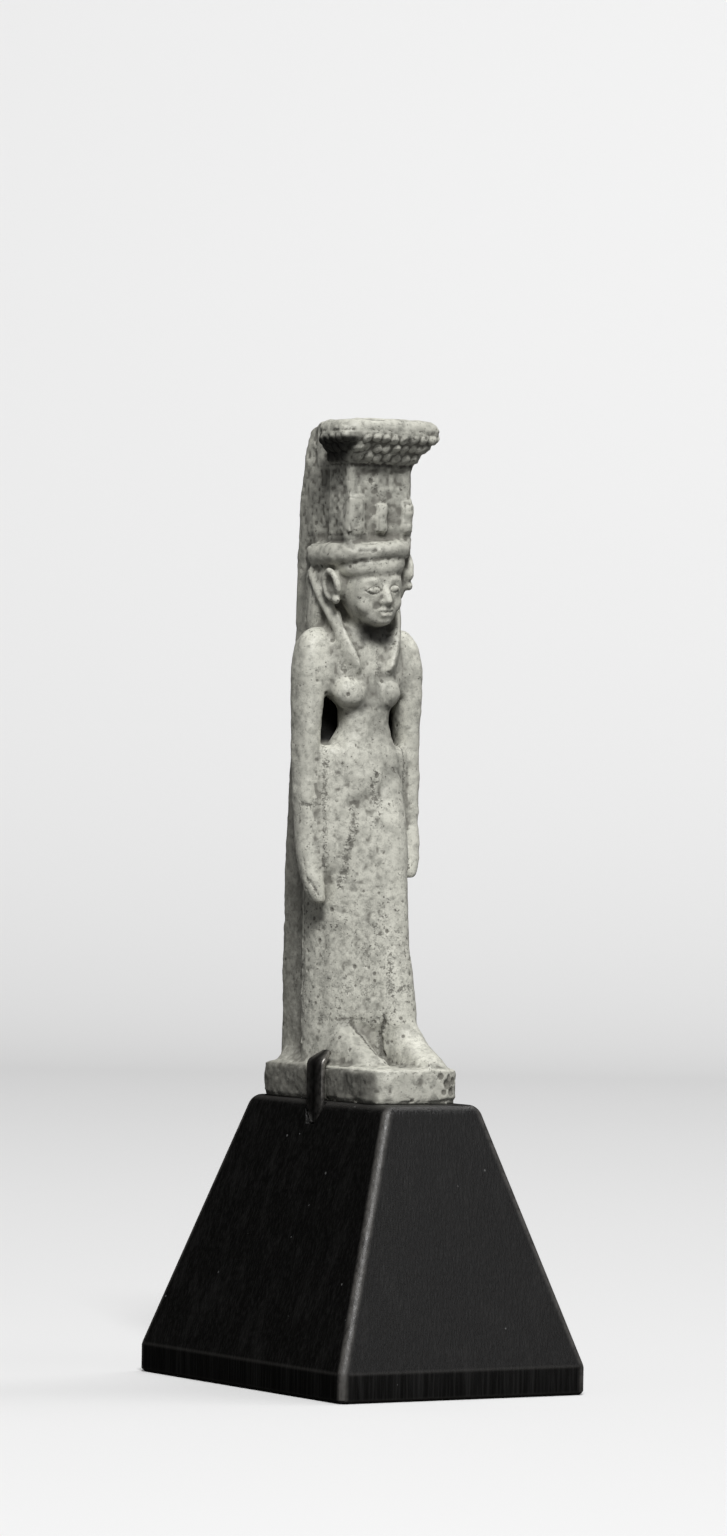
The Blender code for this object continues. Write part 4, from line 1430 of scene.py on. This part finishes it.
def clip_mesh(side, settings):
    """A flat strip with a pointed leg and a tapered finger, as one bent piece."""
    path = clip_path()
    shape = bmesh.new()
    edge_marks = shape.verts.layers.float.new("edge")
    rings = []
    for k, (x, z, share) in enumerate(path):
        ahead = path[min(k + 1, len(path) - 1)]
        behind = path[max(k - 1, 0)]
        way = Vector((ahead[0] - behind[0], ahead[1] - behind[1])).normalized()
        section = clip_section(CLIP_WIDTH / 2 * share, CLIP_THICKNESS / 2, settings.edge)
        rings.append([Vector((side * (clip_inner_face() + x + b * way.y), CLIP_SET_BACK + a,
                              z - b * way.x)) for a, b in section])
    for ring in join_rings(shape, rings):
        for place, vert in enumerate(ring):
            vert[edge_marks] = 0.0 if place in (3, 8) else 1.0
    made = mesh_of(shape, "clip")
    made.shade_smooth()
    made.set_sharp_from_angle(angle=math.radians(50.0))
    return made


# Operators


class AMULET_OT_figure(bpy.types.Operator):
    """Make the faience figure with its headdress, pillar and slab"""
    bl_idname = "amulet.make_figure"
    bl_label = "Make figure"

    def execute(self, context):
        settings = context.scene.amulet_figure
        made = add_piece("faience_figure", figure_mesh(settings), faience_finish(settings))
        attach(made, BODY)
        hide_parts("amulet")
        return {"FINISHED"}


class AMULET_OT_stand(bpy.types.Operator):
    """Make the ebonised wooden stand"""
    bl_idname = "amulet.make_stand"
    bl_label = "Make stand"

    def execute(self, context):
        settings = context.scene.amulet_stand
        made = add_piece("wooden_stand", stand_mesh(settings), wood_finish(settings))
        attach(made, BODY)
        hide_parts("stand")
        return {"FINISHED"}


class AMULET_OT_clips(bpy.types.Operator):
    """Make the two metal clips that hold the slab"""
    bl_idname = "amulet.make_clips"
    bl_label = "Make clips"

    def execute(self, context):
        settings = context.scene.amulet_clips
        material = metal_finish(settings)
        for name, node, side in (("right_clip", "clip_right", -1), ("left_clip", "clip_left", 1)):
            made = add_piece(name, clip_mesh(side, settings), material)
            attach(made, BODY)
            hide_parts(node)
        return {"FINISHED"}


class AMULET_OT_stage(bpy.types.Operator):
    """Make the pale floor, its backdrop, the studio lights and the camera"""
    bl_idname = "amulet.make_stage"
    bl_label = "Make stage"

    def execute(self, context):
        settings = context.scene.amulet_stage
        backdrop = add_piece("backdrop", backdrop_mesh(), floor_finish(settings))
        backdrop.visible_glossy = False
        backdrop.visible_diffuse = False
        light_stage(context, settings)
        place_camera(context)
        return {"FINISHED"}


def backdrop_mesh():
    """A floor that curves up into a wall behind the object, square to the camera."""
    radius = BACKDROP_RADIUS
    bend = BACKDROP_DEPTH - radius
    profile = [(BACKDROP_FRONT, 0.0), (0.0, 0.0), (bend, 0.0)]
    for step in range(1, BACKDROP_STEPS + 1):
        turn = math.radians(90.0 * step / BACKDROP_STEPS)
        profile.append((bend + radius * math.sin(turn), radius * (1 - math.cos(turn))))
    profile.append((BACKDROP_DEPTH, BACKDROP_TOP))
    shape = bmesh.new()
    turned = Matrix.Rotation(-CAMERA_TURN, 4, "Z")
    rows = []
    for along, height in profile:
        rows.append([shape.verts.new(turned @ Vector((x, along, height)))
                     for x in (-BACKDROP_HALF_WIDTH, BACKDROP_HALF_WIDTH)])
    for lower, upper in zip(rows, rows[1:]):
        shape.faces.new((lower[0], lower[1], upper[1], upper[0]))
    mesh = mesh_of(shape, "backdrop")
    mesh.shade_smooth()
    return mesh


def add_light(name, place, target, size, power):
    lamp = bpy.data.lights.new(name, "AREA")
    lamp.shape = "RECTANGLE"
    lamp.size, lamp.size_y = size
    lamp.energy = power
    made = bpy.data.objects.new(name, lamp)
    made.location = place
    made.rotation_euler = (Vector(target) - Vector(place)).to_track_quat("-Z", "Y").to_euler()
    bpy.context.scene.collection.objects.link(made)


def from_camera(right, forward, up):
    """A place given by how far it is to the camera's right, beyond the object and up."""
    across = Vector((math.cos(CAMERA_TURN), -math.sin(CAMERA_TURN), 0.0))
    ahead = Vector((math.sin(CAMERA_TURN), math.cos(CAMERA_TURN), 0.0))
    return across * right + ahead * forward + Vector((0.0, 0.0, up))


def light_stage(context, settings):
    """A soft key above the camera, a broad panel at its right and a light on the backdrop."""
    add_light("key_light", from_camera(*KEY_PLACE), LIT_MIDDLE, KEY_SIZE, settings.key_power)
    add_light("side_panel", from_camera(*SIDE_PLACE), LIT_MIDDLE, SIDE_SIZE, SIDE_POWER)
    add_light("backdrop_light", from_camera(*BACKDROP_LIGHT_PLACE),
              from_camera(*BACKDROP_LIGHT_TARGET), BACKDROP_LIGHT_SIZE, BACKDROP_LIGHT_POWER)
    world = bpy.data.worlds.new("surround")
    world.use_nodes = True
    background = world.node_tree.nodes["Background"]
    background.inputs["Color"].default_value = (1.0, 1.0, 1.0, 1.0)
    background.inputs["Strength"].default_value = settings.surround
    world.cycles_visibility.glossy = False
    context.scene.world = world
    context.scene.view_settings.view_transform = "Standard"


def place_camera(context):
    """The photograph's viewpoint: level, far off, with a small shift for the framing."""
    lens = bpy.data.cameras.new("camera")
    lens.sensor_width = SENSOR_WIDTH
    lens.lens = SENSOR_WIDTH * CAMERA_FOCAL_PIXELS / PICTURE_HEIGHT
    lens.shift_x = (PICTURE_WIDTH / 2 - CAMERA_CENTRE[0]) / PICTURE_HEIGHT
    lens.shift_y = (CAMERA_CENTRE[1] - PICTURE_HEIGHT / 2) / PICTURE_HEIGHT
    lens.clip_start = NEAREST_SEEN
    made = bpy.data.objects.new("camera", lens)
    forward = Vector((math.sin(CAMERA_TURN), math.cos(CAMERA_TURN), 0.0))
    right = Vector((math.cos(CAMERA_TURN), -math.sin(CAMERA_TURN), 0.0))
    turned = Matrix((right, (0.0, 0.0, 1.0), -forward)).transposed().to_4x4()
    turned = turned @ Matrix.Rotation(CAMERA_ROLL, 4, "Z")
    turned.translation = -forward * CAMERA_DISTANCE + Vector((0.0, 0.0, CAMERA_HEIGHT))
    made.matrix_world = turned
    context.scene.collection.objects.link(made)
    context.scene.camera = made


class AMULET_PT_panel(bpy.types.Panel):
    """Lists the pieces of the amulet and their settings"""
    bl_idname = "AMULET_PT_panel"
    bl_label = "Amulet"
    bl_space_type = "VIEW_3D"
    bl_region_type = "UI"
    bl_category = "Amulet"

    def draw(self, context):
        for operator, group in PIECES:
            column_of_buttons = self.layout.column()
            column_of_buttons.operator(operator.bl_idname)
            settings = getattr(context.scene, group)
            for name in settings.__annotations__:
                column_of_buttons.prop(settings, name)


PIECES = (
    (AMULET_OT_figure, "amulet_figure"),
    (AMULET_OT_stand, "amulet_stand"),
    (AMULET_OT_clips, "amulet_clips"),
    (AMULET_OT_stage, "amulet_stage"),
)
GROUPS = (
    ("amulet_figure", FigureSettings),
    ("amulet_stand", StandSettings),
    ("amulet_clips", ClipSettings),
    ("amulet_stage", StageSettings),
)


def register():
    for name, group in GROUPS:
        bpy.utils.register_class(group)
        setattr(bpy.types.Scene, name, PointerProperty(type=group))
    for operator, _ in PIECES:
        bpy.utils.register_class(operator)
    bpy.utils.register_class(AMULET_PT_panel)


def unregister():
    bpy.utils.unregister_class(AMULET_PT_panel)
    for operator, _ in reversed(PIECES):
        bpy.utils.unregister_class(operator)
    for name, group in reversed(GROUPS):
        delattr(bpy.types.Scene, name)
        bpy.utils.unregister_class(group)


def main():
    register()
    bpy.ops.amulet.make_stage()
    bpy.ops.amulet.make_stand()
    bpy.ops.amulet.make_clips()
    bpy.ops.amulet.make_figure()


if __name__ == "__main__":
    main()
